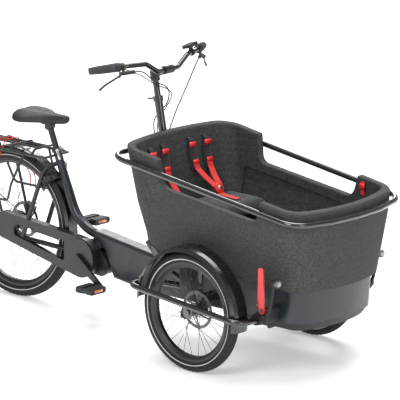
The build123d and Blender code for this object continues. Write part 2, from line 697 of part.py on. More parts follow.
def harness_buckles():
    """Buckles on the crotch straps."""
    made = []
    for y in (-127.5, 127.5):
        made.append(box(-300, -250, y - 20, y + 20, SEAT_Z + 3 + 2 * GAP, SEAT_Z + 16))
    return made


def rear_plate():
    """Painted carrier plate wrapping the box's rear corners, with the column clamps."""
    skin = box_loft(3.3, 412, 862) - box_loft(GAP, 411, 863)
    side_view = polygon((-600, 800), (-452, 800), (-420, 640), (-396, 520), (-350, 468), (-288, 448), (-262, 412),
                        (-600, 412))
    middle = box(-600, -300, -150, 150, 412, 842)
    skin = skin & (slab_y(side_view, -500, 500) + middle)
    for cut in arch(ARCH_R + 4, ARCH_Y):
        skin -= cut
    for z in (500.0, 640.0, 790.0):
        x = column_x(z)
        clamp = box(x + 2, wall_at(z)[1] - 3.2, -32, 32, z - 18, z + 18)
        clamp += rod((column_x(z + 18), 0, z + 18), (column_x(z - 18), 0, z - 18), COLUMN_R_LOW + 7)
        skin += clamp - box_loft(2, 412, 880)
    column = rod((column_x(400), 0, 400), (column_x(900), 0, 900), COLUMN_R_LOW)
    skin -= column
    for side in (-1, 1):
        strut = tube([(-402, side * 206, 450), (-300, side * 208, 352), (-168, side * 210, 312)], 40, 11)
        skin += strut - box_loft(2, 380, 500)
    return skin - sills()


def column_x(z):
    """X of the steering column's axis, parallel to the rear wall."""
    return BOX_REAR[2] + SLANT * (BOX_HIGH_Z - z) - COLUMN_GAP


# ================================================================ front unit: chassis
def sills():
    """Two box-section side members."""
    whole = None
    for side in (-1, 1):
        sill = box(SILL_REAR, SILL_FRONT, side * SILL_Y, side * (SILL_Y + SILL_W), SILL_Z, SILL_Z + SILL_H)
        whole = sill if whole is None else whole + sill
    return whole


def front_chassis():
    """Sills, bridge plates round the head tube, and wheel carriers with stub axles."""
    top = SILL_Z + SILL_H
    body = sills()
    upper_z = HEAD_HIGH + 4
    body += box(-110, 160, -SILL_Y - 1, SILL_Y + 1, upper_z, upper_z + PLATE_T)
    body += box(-45, 160, -48, 48, HEAD_LOW - 4 - PLATE_T, HEAD_LOW - 4)
    body += box(146, 160, -70, 70, HEAD_LOW - 4 - PLATE_T, upper_z + 1)
    body += box(250, 285, -SILL_Y - 1, SILL_Y + 1, SILL_Z, SILL_Z + 26)
    for side in (-1, 1):
        body += box(-23, 23, side * (SILL_Y + 10), side * (KNUCKLE_Y + 4), SILL_Z + 1, top - 1)
        body += slab_y(hull_of_discs((0, FRONT_TYRE_R, 26), (0, top - 16, 26)), side * KNUCKLE_Y,
                       side * (KNUCKLE_Y + 12))
        body += disc_y(0, FRONT_TYRE_R, STUB_R, side * KNUCKLE_Y, side * (TRACK / 2 + 24.8))
    body -= rod((0, 0, 100), (0, 0, 400), PIVOT_R)
    return body


def kingpin():
    """Steering pivot bolt with its washers and heads."""
    low = HEAD_LOW - 4 - PLATE_T
    high = HEAD_HIGH + 4 + PLATE_T
    pin = rod((0, 0, low), (0, 0, high), PIVOT_R)
    cap = rod((0, 0, high), (0, 0, high + 10), 24)
    nut = rod((0, 0, low - 10), (0, 0, low), 22)
    washers = rod((0, 0, HEAD_HIGH + 1), (0, 0, HEAD_HIGH + 4), 24)
    washers += rod((0, 0, HEAD_LOW - 4), (0, 0, HEAD_LOW - 1), 24)
    return pin + cap + nut + washers


def lower_shell():
    """Painted apron under the foam box, open at the back."""
    def ring(grow, z, lean):
        return Pos(0, 0, z) * outline(SHELL_HALF + grow, -260, SHELL_FRONT + grow + lean, 40, 88 + grow, 46, 0)
    high = BOX_LOW_Z - GAP
    outer = loft([ring(0, SHELL_LOW, -8), ring(0, high, 4)], ruled=True)
    inner = loft([ring(-SHELL_T, SHELL_LOW - 1, -8), ring(-SHELL_T, high + 1, 4)], ruled=True)
    skin = outer - inner - box(-300, SILL_REAR + 8, -400, 400, 200, 420)
    for side in (-1, 1):
        skin -= box(-27, 27, side * 200, side * 300, SILL_Z - GAP, SILL_Z + SILL_H + GAP)
    return skin


def under_tray():
    """Dark tray closing the apron from below."""
    def plan(z, grow):
        return Pos(0, 0, z) * outline(SHELL_HALF - 4 + grow, 166, SHELL_FRONT - 12 + grow, 12, 80 + grow, 46, 0)
    outer = loft([plan(SHELL_LOW - 34, -20), plan(SHELL_LOW - GAP, 0)], ruled=True)
    inner = loft([plan(SHELL_LOW - 31, -23), plan(SHELL_LOW + 1, -3)], ruled=True)
    return outer - inner


def arch_liners():
    """Black liners under the two wheel arches."""
    made = []
    for side in (-1, 1):
        ring = disc_y(ARCH_X, ARCH_Z, ARCH_R - GAP, side * (SHELL_HALF + GAP), side * 300)
        ring -= disc_y(ARCH_X, ARCH_Z, ARCH_R - 3.3, side * 200, side * 320)
        upper = box(-330, SILL_FRONT, side * 230, side * 302, 392, 560)
        ring = ring & upper & box_loft(-2, 391, 800)
        made.append(ring)
    return made


def bumper(side, grow=0.0, bore=0.0):
    """Bent tube guarding one wheel, from the sill's rear end to the front corner."""
    run = [(SILL_REAR - 2, side * 214, 296), (-286, side * 300, 318), (-300, side * BUMPER_Y, 331),
           (302, side * BUMPER_Y, 270), (310, side * 380, 265), (304, side * 243, 262)]
    return tube(run, [30, 45, 50, 40], BUMPER_R + grow, bore)


def bumpers():
    """Both wheel guards."""
    return [bumper(side, 0.0, BUMPER_R - 2.5) - sills() for side in (-1, 1)]


def mount_face(grow=0.0):
    """Side view of the block that holds the bumper's front end, the lever and the lamp."""
    return hull_of_discs((296, 262, 24 + grow), (338, 270, 20 + grow), (347, 305, 15 + grow))


def bumper_mounts():
    """Rounded blocks at the front ends of the bumpers."""
    made = []
    for side in (-1, 1):
        block = slab_y(mount_face(), side * (SHELL_HALF + GAP), side * 318)
        made.append(block - bumper(side, GAP))
    return made


def fenders():
    """Wide mudguards over the front wheels, with tabs to the bumper and a strut to the carrier."""
    made = []
    z = FRONT_TYRE_R
    skin = polygon((-46, 257), (-43.5, 257), (-36, 271), (-20, 275.2), (20, 275.2), (36, 271), (43.5, 257), (46, 257),
                   (38.5, 273), (21, 278), (-21, 278), (-38.5, 273))
    for side in (-1, 1):
        guard = Pos(0, side * TRACK / 2, 0) * spun(skin, 0, z, FENDER_ARC, FENDER_START)
        guard += box(-244, -226, side * 419.5, side * 431, 322, 372)
        guard += box(256, 270, side * 412, side * 430, 258, 292)
        strut = slab_y(hull_of_discs((0, 300, 9), (0, 520, 9)), side * 318, side * 324)
        strut += box(-7, 7, side * 319, side * 334, 513, 527)
        strut += box(-7, 7, side * (KNUCKLE_Y + 12), side * 323, 292, 312)
        guard += strut
        wheel = disc_y(0, z, FRONT_TYRE_R + 2.9, side * 334, side * 460)
        made.append(guard - bumper(side, GAP) - wheel)
    return made


def front_lamps():
    """Position lamps standing outside the box on short stalks."""
    made = []
    for side in (-1, 1):
        y = side * 327
        lamp = rod((400, y, 437), (428, y, 437), 15) + rod((428, y, 437), (432, y, 437), 12)
        stalk = slab_y(hull_of_discs((404, 424, 5), (384, 330, 6)), y - 4, y + 4)
        stalk += slab_y(hull_of_discs((384, 330, 6), (362, 282, 8)), y - 4, y + 4)
        foot = box(352, 368, y, side * 304, 276, 290) - slab_y(mount_face(GAP), side * 200, side * (318 + GAP))
        made.append(lamp + stalk + foot)
    return made


def lock_lever():
    """Red parking lever with a bent foot."""
    x, z = LEVER_AT
    bar = polygon((x - 22, z + 34), (x + 12, z + 34), (x + 8, z + 178), (x - 18, z + 178))
    bar = fillet(bar.vertices().sort_by(Axis.Y)[-2:], 8)
    foot = hull_of_discs((x, z, 14), (x - 5, z + 36, 14))
    whole = slab_y(bar, LEVER_Y - 3, LEVER_Y + 3) + slab_y(foot, LEVER_Y - 3, LEVER_Y + 3)
    return whole - disc_y(x, z, 5 + RUN, LEVER_Y - 9, LEVER_Y + 9)


def lever_pin():
    """Bolt the parking lever turns on."""
    x, z = LEVER_AT
    pin = disc_y(x, z, 5, LEVER_Y - 3.4, -318 - GAP / 3) + disc_y(x, z, 8, LEVER_Y - 7.4, LEVER_Y - 3.4)
    return pin + disc_y(x, z, 9, LEVER_Y + 3.4, -318 - GAP / 3)


def front_calipers():
    """Disc calipers behind the front hubs."""
    made = []
    a = radians(196.0)
    x, z = 70 * cos(a), FRONT_TYRE_R + 70 * sin(a)
    for side in (-1, 1):
        y = side * (TRACK / 2 - 38)
        body = Pos(x, y - side * 2, z) * Rot(0, 16, 0) * Box(30, 22, 58)
        body -= disc_y(0, FRONT_TYRE_R, 81, y - 1.8, y + 1.8)
        arm = slab_y(hull_of_discs((x, z, 12), (-30, 262, 12)), side * (KNUCKLE_Y + 12), y - side * 8)
        arm -= disc_y(0, FRONT_TYRE_R, 24, side * 300, side * 340)
        made.append(body + arm)
    return made


# ================================================================ front unit: rail and handlebar
def rail_point(x, y):
    """Point on the hand rail's sloping plane."""
    return (x, y, RAIL_Z + RAIL_SLOPE * (x - RAIL_X))


def handrail():
    """Rail round the box, just outside and below its rim."""
    side = RAIL_FRONT - BOX_BOW
    near = RAIL_FRONT - 8
    run = [(RAIL_REAR, 210), (RAIL_REAR, 347), (side, 338), (near, 150), (RAIL_FRONT, 0), (near, -150), (side, -338),
           (RAIL_REAR, -347), (RAIL_REAR, -210)]
    bends = [78.0, 85.0, 160.0, 300.0, 160.0, 85.0, 78.0]
    return tube([rail_point(*p) for p in run], bends, RAIL_D / 2, RAIL_D / 2 - 2.5)


def steer_column():
    """Column behind the rear wall, in two diameters."""
    knee = 1010.0
    low = rod((column_x(450), 0, 450), (column_x(knee), 0, knee), COLUMN_R_LOW)
    top = rod((column_x(knee), 0, knee), (column_x(1112), 0, 1112), COLUMN_R_TOP)
    collar = rod((column_x(knee - 12), 0, knee - 12), (column_x(knee + 10), 0, knee + 10), COLUMN_R_LOW + 4)
    stub = rod((column_x(knee), 0, knee), (column_x(knee) - 40, -20, knee - 4), 4)
    guide = box(column_x(840) - 34, column_x(840) + 4, -34, 34, 832, CABLE_END - GAP)
    return low + top + collar + stub + guide


def stem():
    """Adjustable stem from the column to the bar clamp."""
    x0 = column_x(1106)
    post = rod((column_x(1084), 0, 1084), (column_x(1128), 0, 1128), COLUMN_R_TOP + 6)
    arm = slab_y(hull_of_discs((x0, 1112, 15), (BAR_MID[0], BAR_MID[1], 14)), -13, 13)
    clamp = disc_y(BAR_MID[0], BAR_MID[1], BAR_R + 7, -26, 26)
    body = post + arm + clamp
    body -= rod((column_x(1000), 0, 1000), (column_x(1112), 0, 1112), COLUMN_R_TOP)
    return body - disc_y(BAR_MID[0], BAR_MID[1], BAR_R, -40, 40)


def bar_path():
    """Points of the whole handlebar, right to left."""
    left = list(BAR_POINTS)
    right = [(x, -y, z) for x, y, z in reversed(left)]
    return right + left


def handlebar():
    """Riser bar swept back to the grips."""
    return tube(bar_path(), [40, 34, 30, 30, 34, 40], BAR_R, BAR_R - 2.5)


def on_bar(side, along, r=0.0, turn=0.0, run=2):
    """Point beside a straight run of the bar: along it, r away, turned from down toward forward."""
    a, b = Vector(*BAR_POINTS[run]), Vector(*BAR_POINTS[run + 1])
    way = (b - a).normalized()
    down = Vector(0, 0, -1)
    down = (down - way * way.dot(down)).normalized()
    ahead = way.cross(down)
    ahead = ahead if ahead.X > 0 else -ahead
    p = a + way * along + down * (r * cos(radians(turn))) + ahead * (r * sin(radians(turn)))
    return (p.X, side * p.Y, p.Z)


def bar_sleeve(side, start, end, r0, r1, bore, run=2):
    """Round part over a straight run of the bar."""
    body = rod(on_bar(side, start, run=run), on_bar(side, end, run=run), r0, r1)
    return body - rod(on_bar(side, start - 5, run=run), on_bar(side, end + 5, run=run), bore)


def grips():
    """Tapered rubber grips with a closed outer end."""
    made = []
    for side in (-1, 1):
        body = rod(on_bar(side, 54), on_bar(side, 166), 19, 14.5)
        body -= rod(on_bar(side, 40), on_bar(side, 161.9), BAR_R)
        made.append(body)
    return made


def shifter():
    """Twist shifter ring beside the right grip."""
    return bar_sleeve(-1, 33, 53, 20, 19.5, BAR_R + RUN)


def brake_bodies():
    """Brake lever holders with their cylinders."""
    made = []
    for side in (-1, 1):
        body = rod(on_bar(side, -26, 31, 38), on_bar(side, 33, 31, 38), 8.5)
        body += rod(on_bar(side, 21, 12, 38), on_bar(side, 21, 30, 38), 6)
        body += rod(on_bar(side, 30, 28.5, 38), on_bar(side, 42, 27.5, 38), 5)
        body += rod(on_bar(side, 14), on_bar(side, 28), 16)
        made.append(body - rod(on_bar(side, 0), on_bar(side, 60), BAR_R))
    return made


def brake_lever(side):
    """Bent brake lever blade with its pivot pin."""
    start = on_bar(side, LEVER_ALONG - 4, LEVER_OUT + 1, LEVER_TURN)
    mid = on_bar(side, LEVER_ALONG + 22, 50, 26)
    low = on_bar(side, LEVER_ALONG + 60, 66, 16)
    tip = on_bar(side, LEVER_ALONG + 84, 82, 14)
    blade = tube([start, mid, low, tip], 14.0, 4.6)
    pin = Vector(*on_bar(side, 0, 8, LEVER_TURN + 90)) - Vector(*on_bar(side, 0))
    blade += rod(tuple(Vector(*start) - pin), tuple(Vector(*start) + pin), 5)
    return blade + Pos(*start) * Sphere(6.5) + Pos(*tip) * Sphere(5.5)


def cables():
    """Hoses and cables from the controls down behind the rear wall."""
    x0 = column_x(CABLE_END)
    brake_right = [on_bar(-1, -28, 31, 38), on_bar(-1, -60, 30, 44), (-486, -70, 1096), (-484, 24, 1062),
                   (-505, 38, 985), (-552, 22, 938), (-550, -12, 900), (x0 - 24, -26, CABLE_END)]
    shift = [on_bar(-1, 30, 24, -70), (-500, -150, 1146), (-500, -60, 1084), (-478, 50, 1040), (-512, 28, 962),
             (-543, 18, 922), (-530, -6, 885), (x0 - 26, -9, CABLE_END)]
    brake_left = [on_bar(1, -28, 31, 38), on_bar(1, -60, 30, 44), (-470, 104, 1036), (-484, 54, 940),
                  (x0 - 4, 29, CABLE_END)]
    made = []
    for run, r in ((brake_right, 2.8), (shift, 2.3), (brake_left, 2.8)):
        made.append(tube(run, 12.0, r))
    return made


def display():
    """Display and its clamp on the left of the bar."""
    clamp = bar_sleeve(1, 36, 50, 15, 15, BAR_R, 1)
    neck = Pos(*on_bar(1, 43, -19, 10, 1)) * Rot(8, -14, 12) * Box(14, 12, 18)
    face = Pos(*on_bar(1, 40, -32, 10, 1)) * Rot(8, -14, 12) * Box(42, 60, 14)
    bar = rod(on_bar(1, 20, run=1), on_bar(1, 66, run=1), BAR_R)
    return clamp + face + (neck - bar)


def bell():
    """Bell with its clamp."""
    clamp = bar_sleeve(1, 5, 12, 14, 14, BAR_R)
    neck = rod(on_bar(1, 8.5, -13, -50), on_bar(1, 8.5, -18, -50), 3)
    return clamp + neck + rod(on_bar(1, 8.5, -17, -50), on_bar(1, 8.5, -31, -50), 11.5)


def front_bolts():
    """Visible bolts of the apron and the bumper mounts."""
    made = []
    for side in (-1, 1):
        for x, z in ((-150, 300), (-120, 345), (120, 345), (240, 300)):
            made.append(disc_y(x, z, 5, side * (SHELL_HALF + 0.1), side * (SHELL_HALF + 3)))
        for x, z in ((340, 282), (336, 260)):
            made.append(disc_y(x, z, 5, side * (318 + 0.05), side * 322))
    return made


# ================================================================ build
def build():
    """Build every node."""
    save("main_frame", main_frame())
    save("rear_triangle", rear_triangle())
    save("motor_unit", motor_unit())
    save("chaincase", chaincase())
    save("chain", chain())
    save("rear_mudguard", rear_mudguard(), guard_stay(-1), guard_stay(1))
    save("rear_rack", rear_rack())
    save("rack_straps", rack_straps())
    save("ring_lock", ring_lock())
    save("tail_light", tail_light())
    save("rear_caliper", rear_caliper())
    save("seat_clamp", seat_clamp())
    save("seat_post", saddle_post())
    save("saddle_rails", saddle_rails())
    save("saddle_top", saddle_top())
    save("seat_lever", seat_lever())
    save("crank_set", crank_set())
    save("pedal_right", pedal(-1))
    save("pedal_left", pedal(1))
    rear_wheel()
    front_wheel(-1, "right")
    front_wheel(1, "left")
    save("box_shell", box_shell())
    save("bench", bench())
    save("harness_straps", harness_straps())
    save("harness_pads", harness_pads())
    save("harness_buckles", harness_buckles())
    save("rear_plate", rear_plate())
    save("front_chassis", front_chassis())
    save("kingpin", kingpin())
    save("lower_shell", lower_shell())
    save("under_tray", under_tray())
    save("arch_liners", arch_liners())
    save("bumpers", bumpers())
    save("bumper_mounts", bumper_mounts())
    save("fenders", fenders())
    save("front_lamps", front_lamps())
    save("lock_lever", lock_lever())
    save("front_calipers", front_calipers())
    save("handrail", handrail())
    save("steer_column", steer_column())
    save("stem", stem())
    save("handlebar", handlebar())
    save("grips", grips())
    save("shifter", shifter())
    save("brake_bodies", brake_bodies())
    save("brake_lever_right", brake_lever(-1))
    save("brake_lever_left", brake_lever(1))
    save("cables", cables())
    save("bar_controls", display(), bell())
    save("front_bolts", front_bolts(), lever_pin())


build()
os.makedirs("parts", exist_ok=True)
middle = (RAIL_FRONT + RAIL_D / 2 - WHEELBASE - GUARD_R - GUARD_T) / 2
for name, shape in nodes.items():
    export_step(Pos(-middle, 0, 0) * shape, f"parts/{name}.step")
print(len(nodes), "nodes")
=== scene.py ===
import math

import bmesh
import bpy
from mathutils import Matrix, Vector


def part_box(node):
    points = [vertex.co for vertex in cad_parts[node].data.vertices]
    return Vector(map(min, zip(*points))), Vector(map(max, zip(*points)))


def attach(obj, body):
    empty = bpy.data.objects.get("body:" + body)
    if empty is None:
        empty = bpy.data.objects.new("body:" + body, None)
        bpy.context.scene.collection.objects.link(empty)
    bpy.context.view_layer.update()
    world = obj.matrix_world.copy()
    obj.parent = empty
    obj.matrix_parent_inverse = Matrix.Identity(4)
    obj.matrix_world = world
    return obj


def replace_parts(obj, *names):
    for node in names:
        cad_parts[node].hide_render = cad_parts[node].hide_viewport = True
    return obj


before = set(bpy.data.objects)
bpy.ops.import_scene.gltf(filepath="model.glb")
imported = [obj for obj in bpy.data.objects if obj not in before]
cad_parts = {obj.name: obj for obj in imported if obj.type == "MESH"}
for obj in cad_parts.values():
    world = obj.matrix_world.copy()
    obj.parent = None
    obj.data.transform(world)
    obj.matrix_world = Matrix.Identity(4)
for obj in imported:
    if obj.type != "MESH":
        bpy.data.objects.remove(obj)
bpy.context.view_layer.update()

AXLE_X = 0.5635            # the front axle line in the frame


def at(x, y, z):
    """A point given from the front axle line, in metres."""
    return Vector((x + AXLE_X, y, z))


# ---------------------------------------------------------------- materials
class Shader:
    """A principled material with its texture nodes."""

    def __init__(self, name, colour, rough=0.5, metal=0.0, coat=0.0, coat_rough=0.08, spec=0.5,
                 sheen=0.0):
        self.material = bpy.data.materials.new(name)
        self.material.use_nodes = True
        self.tree = self.material.node_tree
        self.bsdf = self.tree.nodes["Principled BSDF"]
        self.bsdf.inputs["Base Color"].default_value = (*colour, 1)
        self.bsdf.inputs["Roughness"].default_value = rough
        self.bsdf.inputs["Metallic"].default_value = metal
        self.bsdf.inputs["Coat Weight"].default_value = coat
        self.bsdf.inputs["Coat Roughness"].default_value = coat_rough
        self.bsdf.inputs["Specular IOR Level"].default_value = spec
        self.bsdf.inputs["Sheen Weight"].default_value = sheen
        self.coord = self.tree.nodes.new("ShaderNodeTexCoord").outputs["Object"]
        self.height = None

    def node(self, kind, inputs=(), **settings):
        made = self.tree.nodes.new(kind)
        for key, value in settings.items():
            setattr(made, key, value)
        for key, value in dict(inputs).items():
            if isinstance(value, bpy.types.NodeSocket):
                self.tree.links.new(value, made.inputs[key])
            else:
                made.inputs[key].default_value = value
        return made

    def noise(self, scale, detail=3.0):
        inputs = {"Vector": self.coord, "Scale": scale, "Detail": detail}
        return self.node("ShaderNodeTexNoise", inputs).outputs["Fac"]

    def math(self, operation, a, b=0.0, c=0.0):
        made = self.node("ShaderNodeMath", operation=operation)
        for i, value in enumerate((a, b, c)):
            if isinstance(value, bpy.types.NodeSocket):
                self.tree.links.new(value, made.inputs[i])
            else:
                made.inputs[i].default_value = value
        return made.outputs[0]

    def span(self, value, low, high, to_low, to_high):
        made = self.node("ShaderNodeMapRange", {"Value": value, "From Min": low, "From Max": high,
                                                "To Min": to_low, "To Max": to_high})
        return made.outputs[0]

    def mix(self, factor, a, b):
        made = self.node("ShaderNodeMix", data_type="RGBA")
        for key, value in ((0, factor), (6, a), (7, b)):
            if isinstance(value, bpy.types.NodeSocket):
                self.tree.links.new(value, made.inputs[key])
            else:
                made.inputs[key].default_value = (*value, 1) if hasattr(value, "__len__") else value
        return made.outputs[2]

    def colour(self, socket):
        self.tree.links.new(socket, self.bsdf.inputs["Base Color"])

    def rough(self, socket):
        self.tree.links.new(socket, self.bsdf.inputs["Roughness"])

    def bump(self, socket, strength, distance):
        inputs = {"Height": socket, "Strength": strength, "Distance": distance}
        if self.height is not None:
            inputs["Normal"] = self.height
        self.height = self.node("ShaderNodeBump", inputs).outputs[0]
        self.tree.links.new(self.height, self.bsdf.inputs["Normal"])


def tint(colour, factor):
    return tuple(min(1.0, c * factor) for c in colour)


def paint(name, colour, rough, coat, wear=0.06):
    """Sprayed paint: slight orange peel, dust and faint rubbing."""
    s = Shader(name, colour, rough, 0.0, coat, 0.12)
    cloud = s.noise(7.0, 4.0)
    s.colour(s.mix(s.span(cloud, 0.3, 0.7, 0.0, 1.0), tint(colour, 1 - wear), tint(colour, 1 + wear)))
    s.rough(s.span(s.noise(42.0, 5.0), 0.3, 0.75, rough - 0.05, rough + 0.09))
    s.bump(s.noise(900.0, 2.0), 0.12, 0.0003)
    return s.material


def metal(name, colour, rough):
    """Bare metal with fine machining marks."""
    s = Shader(name, colour, rough, 1.0)
    fine = s.noise(700.0, 3.0)
    s.rough(s.span(fine, 0.3, 0.7, rough - 0.08, rough + 0.12))
    s.colour(s.mix(s.span(s.noise(30.0, 3.0), 0.35, 0.7, 0, 1), tint(colour, 0.88), tint(colour, 1.05)))
    s.bump(fine, 0.15, 0.0002)
    return s.material


def plastic(name, colour, rough=0.55):
    """Moulded plastic with a fine spark texture."""
    s = Shader(name, colour, rough)
    s.rough(s.span(s.noise(60.0, 4.0), 0.3, 0.7, rough - 0.07, rough + 0.07))
    s.colour(s.mix(s.noise(25.0, 4.0), tint(colour, 0.88), tint(colour, 1.12)))
    s.bump(s.noise(1400.0, 2.0), 0.35, 0.0004)
    return s.material


def foam(name, colour):
    """Moulded bead foam: cells of slightly different greys, with shallow mould lines."""
    s = Shader(name, colour, 0.72, spec=0.35)
    cell = s.node("ShaderNodeTexVoronoi", {"Vector": s.coord, "Scale": 240.0})
    edge = s.node("ShaderNodeTexVoronoi", {"Vector": s.coord, "Scale": 240.0}, feature="DISTANCE_TO_EDGE")
    bead = s.node("ShaderNodeSeparateColor", {"Color": cell.outputs["Color"]}).outputs[0]
    mixed = s.mix(bead, tint(colour, 0.45), tint(colour, 1.75))
    mixed = s.mix(s.span(s.noise(9.0, 3.0), 0.35, 0.7, 0.0, 0.35), mixed, tint(colour, 0.8))
    s.colour(mixed)
    s.rough(s.span(bead, 0, 1, 0.62, 0.8))
    s.bump(s.span(edge.outputs["Distance"], 0.0, 0.12, 0.0, 1.0), 0.4, 0.0006)
    z = s.node("ShaderNodeSeparateXYZ", {"Vector": s.coord}).outputs[2]
    z = s.math("ADD", z, s.math("MULTIPLY", s.noise(5.0, 2.0), 0.02))
    ridge = s.math("SINE", s.math("MULTIPLY", z, 2 * math.pi / 0.030))
    s.bump(ridge, 0.3, 0.0008)
    return s.material


def fabric(name, colour, pitch=0.0016):
    """Woven cloth or webbing."""
    rough = 0.85
    s = Shader(name, colour, rough, sheen=0.25, spec=0.3)
    parts = s.node("ShaderNodeSeparateXYZ", {"Vector": s.coord}).outputs
    k = 2 * math.pi / pitch
    along = s.math("ADD", parts[0], parts[2])
    warp = s.math("SINE", s.math("MULTIPLY", parts[1], k))
    weft = s.math("SINE", s.math("MULTIPLY", along, k))
    weave = s.math("MULTIPLY", warp, weft)
    s.bump(weave, 0.5, 0.0003)
    s.colour(s.mix(s.span(weave, -1, 1, 0.0, 1.0), tint(colour, 0.75), tint(colour, 1.2)))
    s.rough(s.span(s.noise(50.0, 3.0), 0.3, 0.7, rough - 0.08, min(1.0, rough + 0.08)))
    return s.material


def rubber(name, colour, rough=0.62, grain=600.0):
    """Matt rubber."""
    s = Shader(name, colour, rough, spec=0.4)
    s.rough(s.span(s.noise(35.0, 4.0), 0.3, 0.7, rough - 0.1, rough + 0.1))
    s.colour(s.mix(s.noise(14.0, 5.0), tint(colour, 0.8), tint(colour, 1.35)))
    s.bump(s.noise(grain, 3.0), 0.25, 0.0004)
    return s.material


def tyre_rubber(name, centre, radius, line_radius):
    """Tyre rubber with a thin reflective line on the side wall and dust on the tread."""
    colour = (0.011, 0.011, 0.0115)
    s = Shader(name, colour, 0.68, spec=0.35)
    parts = s.node("ShaderNodeSeparateXYZ", {"Vector": s.coord}).outputs
    dx = s.math("SUBTRACT", parts[0], centre[0])
    dz = s.math("SUBTRACT", parts[2], centre[2])
    r = s.math("SQRT", s.math("ADD", s.math("MULTIPLY", dx, dx), s.math("MULTIPLY", dz, dz)))
    off = s.math("ABSOLUTE", s.math("SUBTRACT", r, line_radius))
    line = s.math("LESS_THAN", off, 0.0021)
    dusty = s.mix(s.span(s.noise(22.0, 5.0), 0.35, 0.75, 0.0, 0.6), colour, (0.024, 0.0235, 0.022))
    tread = s.span(r, radius - 0.014, radius - 0.004, 0.0, 0.7)
    worn = s.mix(tread, colour, dusty)
    s.colour(s.mix(line, worn, (0.42, 0.43, 0.44)))
    s.rough(s.span(line, 0, 1, 0.7, 0.35))
    s.bump(s.noise(500.0, 3.0), 0.2, 0.0003)
    rings = s.math("SINE", s.math("MULTIPLY", r, 2 * math.pi / 0.0034))
    s.bump(rings, 0.12, 0.0003)
    return s.material


def leather(name, colour):
    """Coated saddle cover with a fine pebble grain."""
    s = Shader(name, colour, 0.5, spec=0.45)
    cell = s.node("ShaderNodeTexVoronoi", {"Vector": s.coord, "Scale": 620.0}, feature="DISTANCE_TO_EDGE")
    s.bump(s.span(cell.outputs["Distance"], 0.0, 0.25, 0.0, 1.0), 0.3, 0.0004)
    s.bump(s.noise(60.0, 4.0), 0.15, 0.0008)
    s.colour(s.mix(s.noise(18.0, 4.0), tint(colour, 0.8), tint(colour, 1.3)))
    s.rough(s.span(s.noise(40.0, 4.0), 0.3, 0.7, 0.42, 0.62))
    return s.material


def braid(name, colour):
    """Elastic cord cover."""
    s = Shader(name, colour, 0.8, spec=0.3, sheen=0.2)
    wave = s.node("ShaderNodeTexWave", {"Vector": s.coord, "Scale": 160.0, "Distortion": 2.0},
                  bands_direction="DIAGONAL")
    s.colour(s.mix(wave.outputs["Fac"], tint(colour, 0.6), tint(colour, 1.25)))
    s.bump(wave.outputs["Fac"], 0.4, 0.0005)
    return s.material


def glass_lens(name, colour):
    """Lens or reflector with small prisms."""
    s = Shader(name, colour, 0.08, coat=1.0, coat_rough=0.03)
    prism = s.node("ShaderNodeTexVoronoi", {"Vector": s.coord, "Scale": 380.0})
    s.bump(prism.outputs["Distance"], 0.5, 0.0008)
    s.colour(s.mix(s.noise(60.0, 2.0), tint(colour, 0.7), tint(colour, 1.2)))
    return s.material


SLATE = (0.0115, 0.0150, 0.0200)
M = {
    "slate": paint("slate_paint", SLATE, 0.34, 0.12),
    "black": paint("black_paint", (0.006, 0.0065, 0.007), 0.2, 0.9, wear=0.15),
    "satin": paint("satin_black", (0.009, 0.009, 0.01), 0.4, 0.15, wear=0.15),
    "rack": paint("rack_paint", (0.018, 0.023, 0.022), 0.42, 0.2, wear=0.12),
    "gloss": paint("gloss_guard", (0.006, 0.006, 0.0065), 0.24, 0.7, wear=0.12),
    "cover": paint("cover_black", (0.0060, 0.0065, 0.0080), 0.38, 0.25, wear=0.12),
    "foam": foam("bead_foam", (0.037, 0.037, 0.0365)),
    "plastic": plastic("black_plastic", (0.011, 0.011, 0.012)),
    "spoke": metal("black_spokes", (0.06, 0.06, 0.062), 0.35),
    "steel": metal("brushed_steel", (0.17, 0.17, 0.175), 0.36),
    "silver": metal("satin_silver", (0.72, 0.72, 0.72), 0.28),
    "red": paint("red_paint", (0.62, 0.016, 0.012), 0.3, 0.5),
    "red_plastic": plastic("red_plastic", (0.66, 0.02, 0.016), 0.42),
    "braid": braid("red_elastic", (0.60, 0.022, 0.017)),
    "webbing": fabric("black_webbing", (0.012, 0.012, 0.013)),
    "red_webbing": fabric("red_webbing", (0.62, 0.02, 0.018)),
    "cushion": fabric("cushion_cloth", (0.024, 0.024, 0.025), 0.0024),
    "pad": fabric("pad_cloth", (0.013, 0.013, 0.014), 0.0018),
    "saddle": leather("saddle_cover", (0.014, 0.014, 0.015)),
    "grip": rubber("grip_rubber", (0.034, 0.036, 0.042)),
    "sheath": rubber("cable_sheath", (0.012, 0.012, 0.012), 0.4, 1500.0),
    "lens_red": glass_lens("red_lens", (0.35, 0.012, 0.01)),
    "lens_amber": glass_lens("amber_reflector", (0.75, 0.2, 0.015)),
    "lens_white": glass_lens("white_lens", (0.32, 0.34, 0.37)),
}

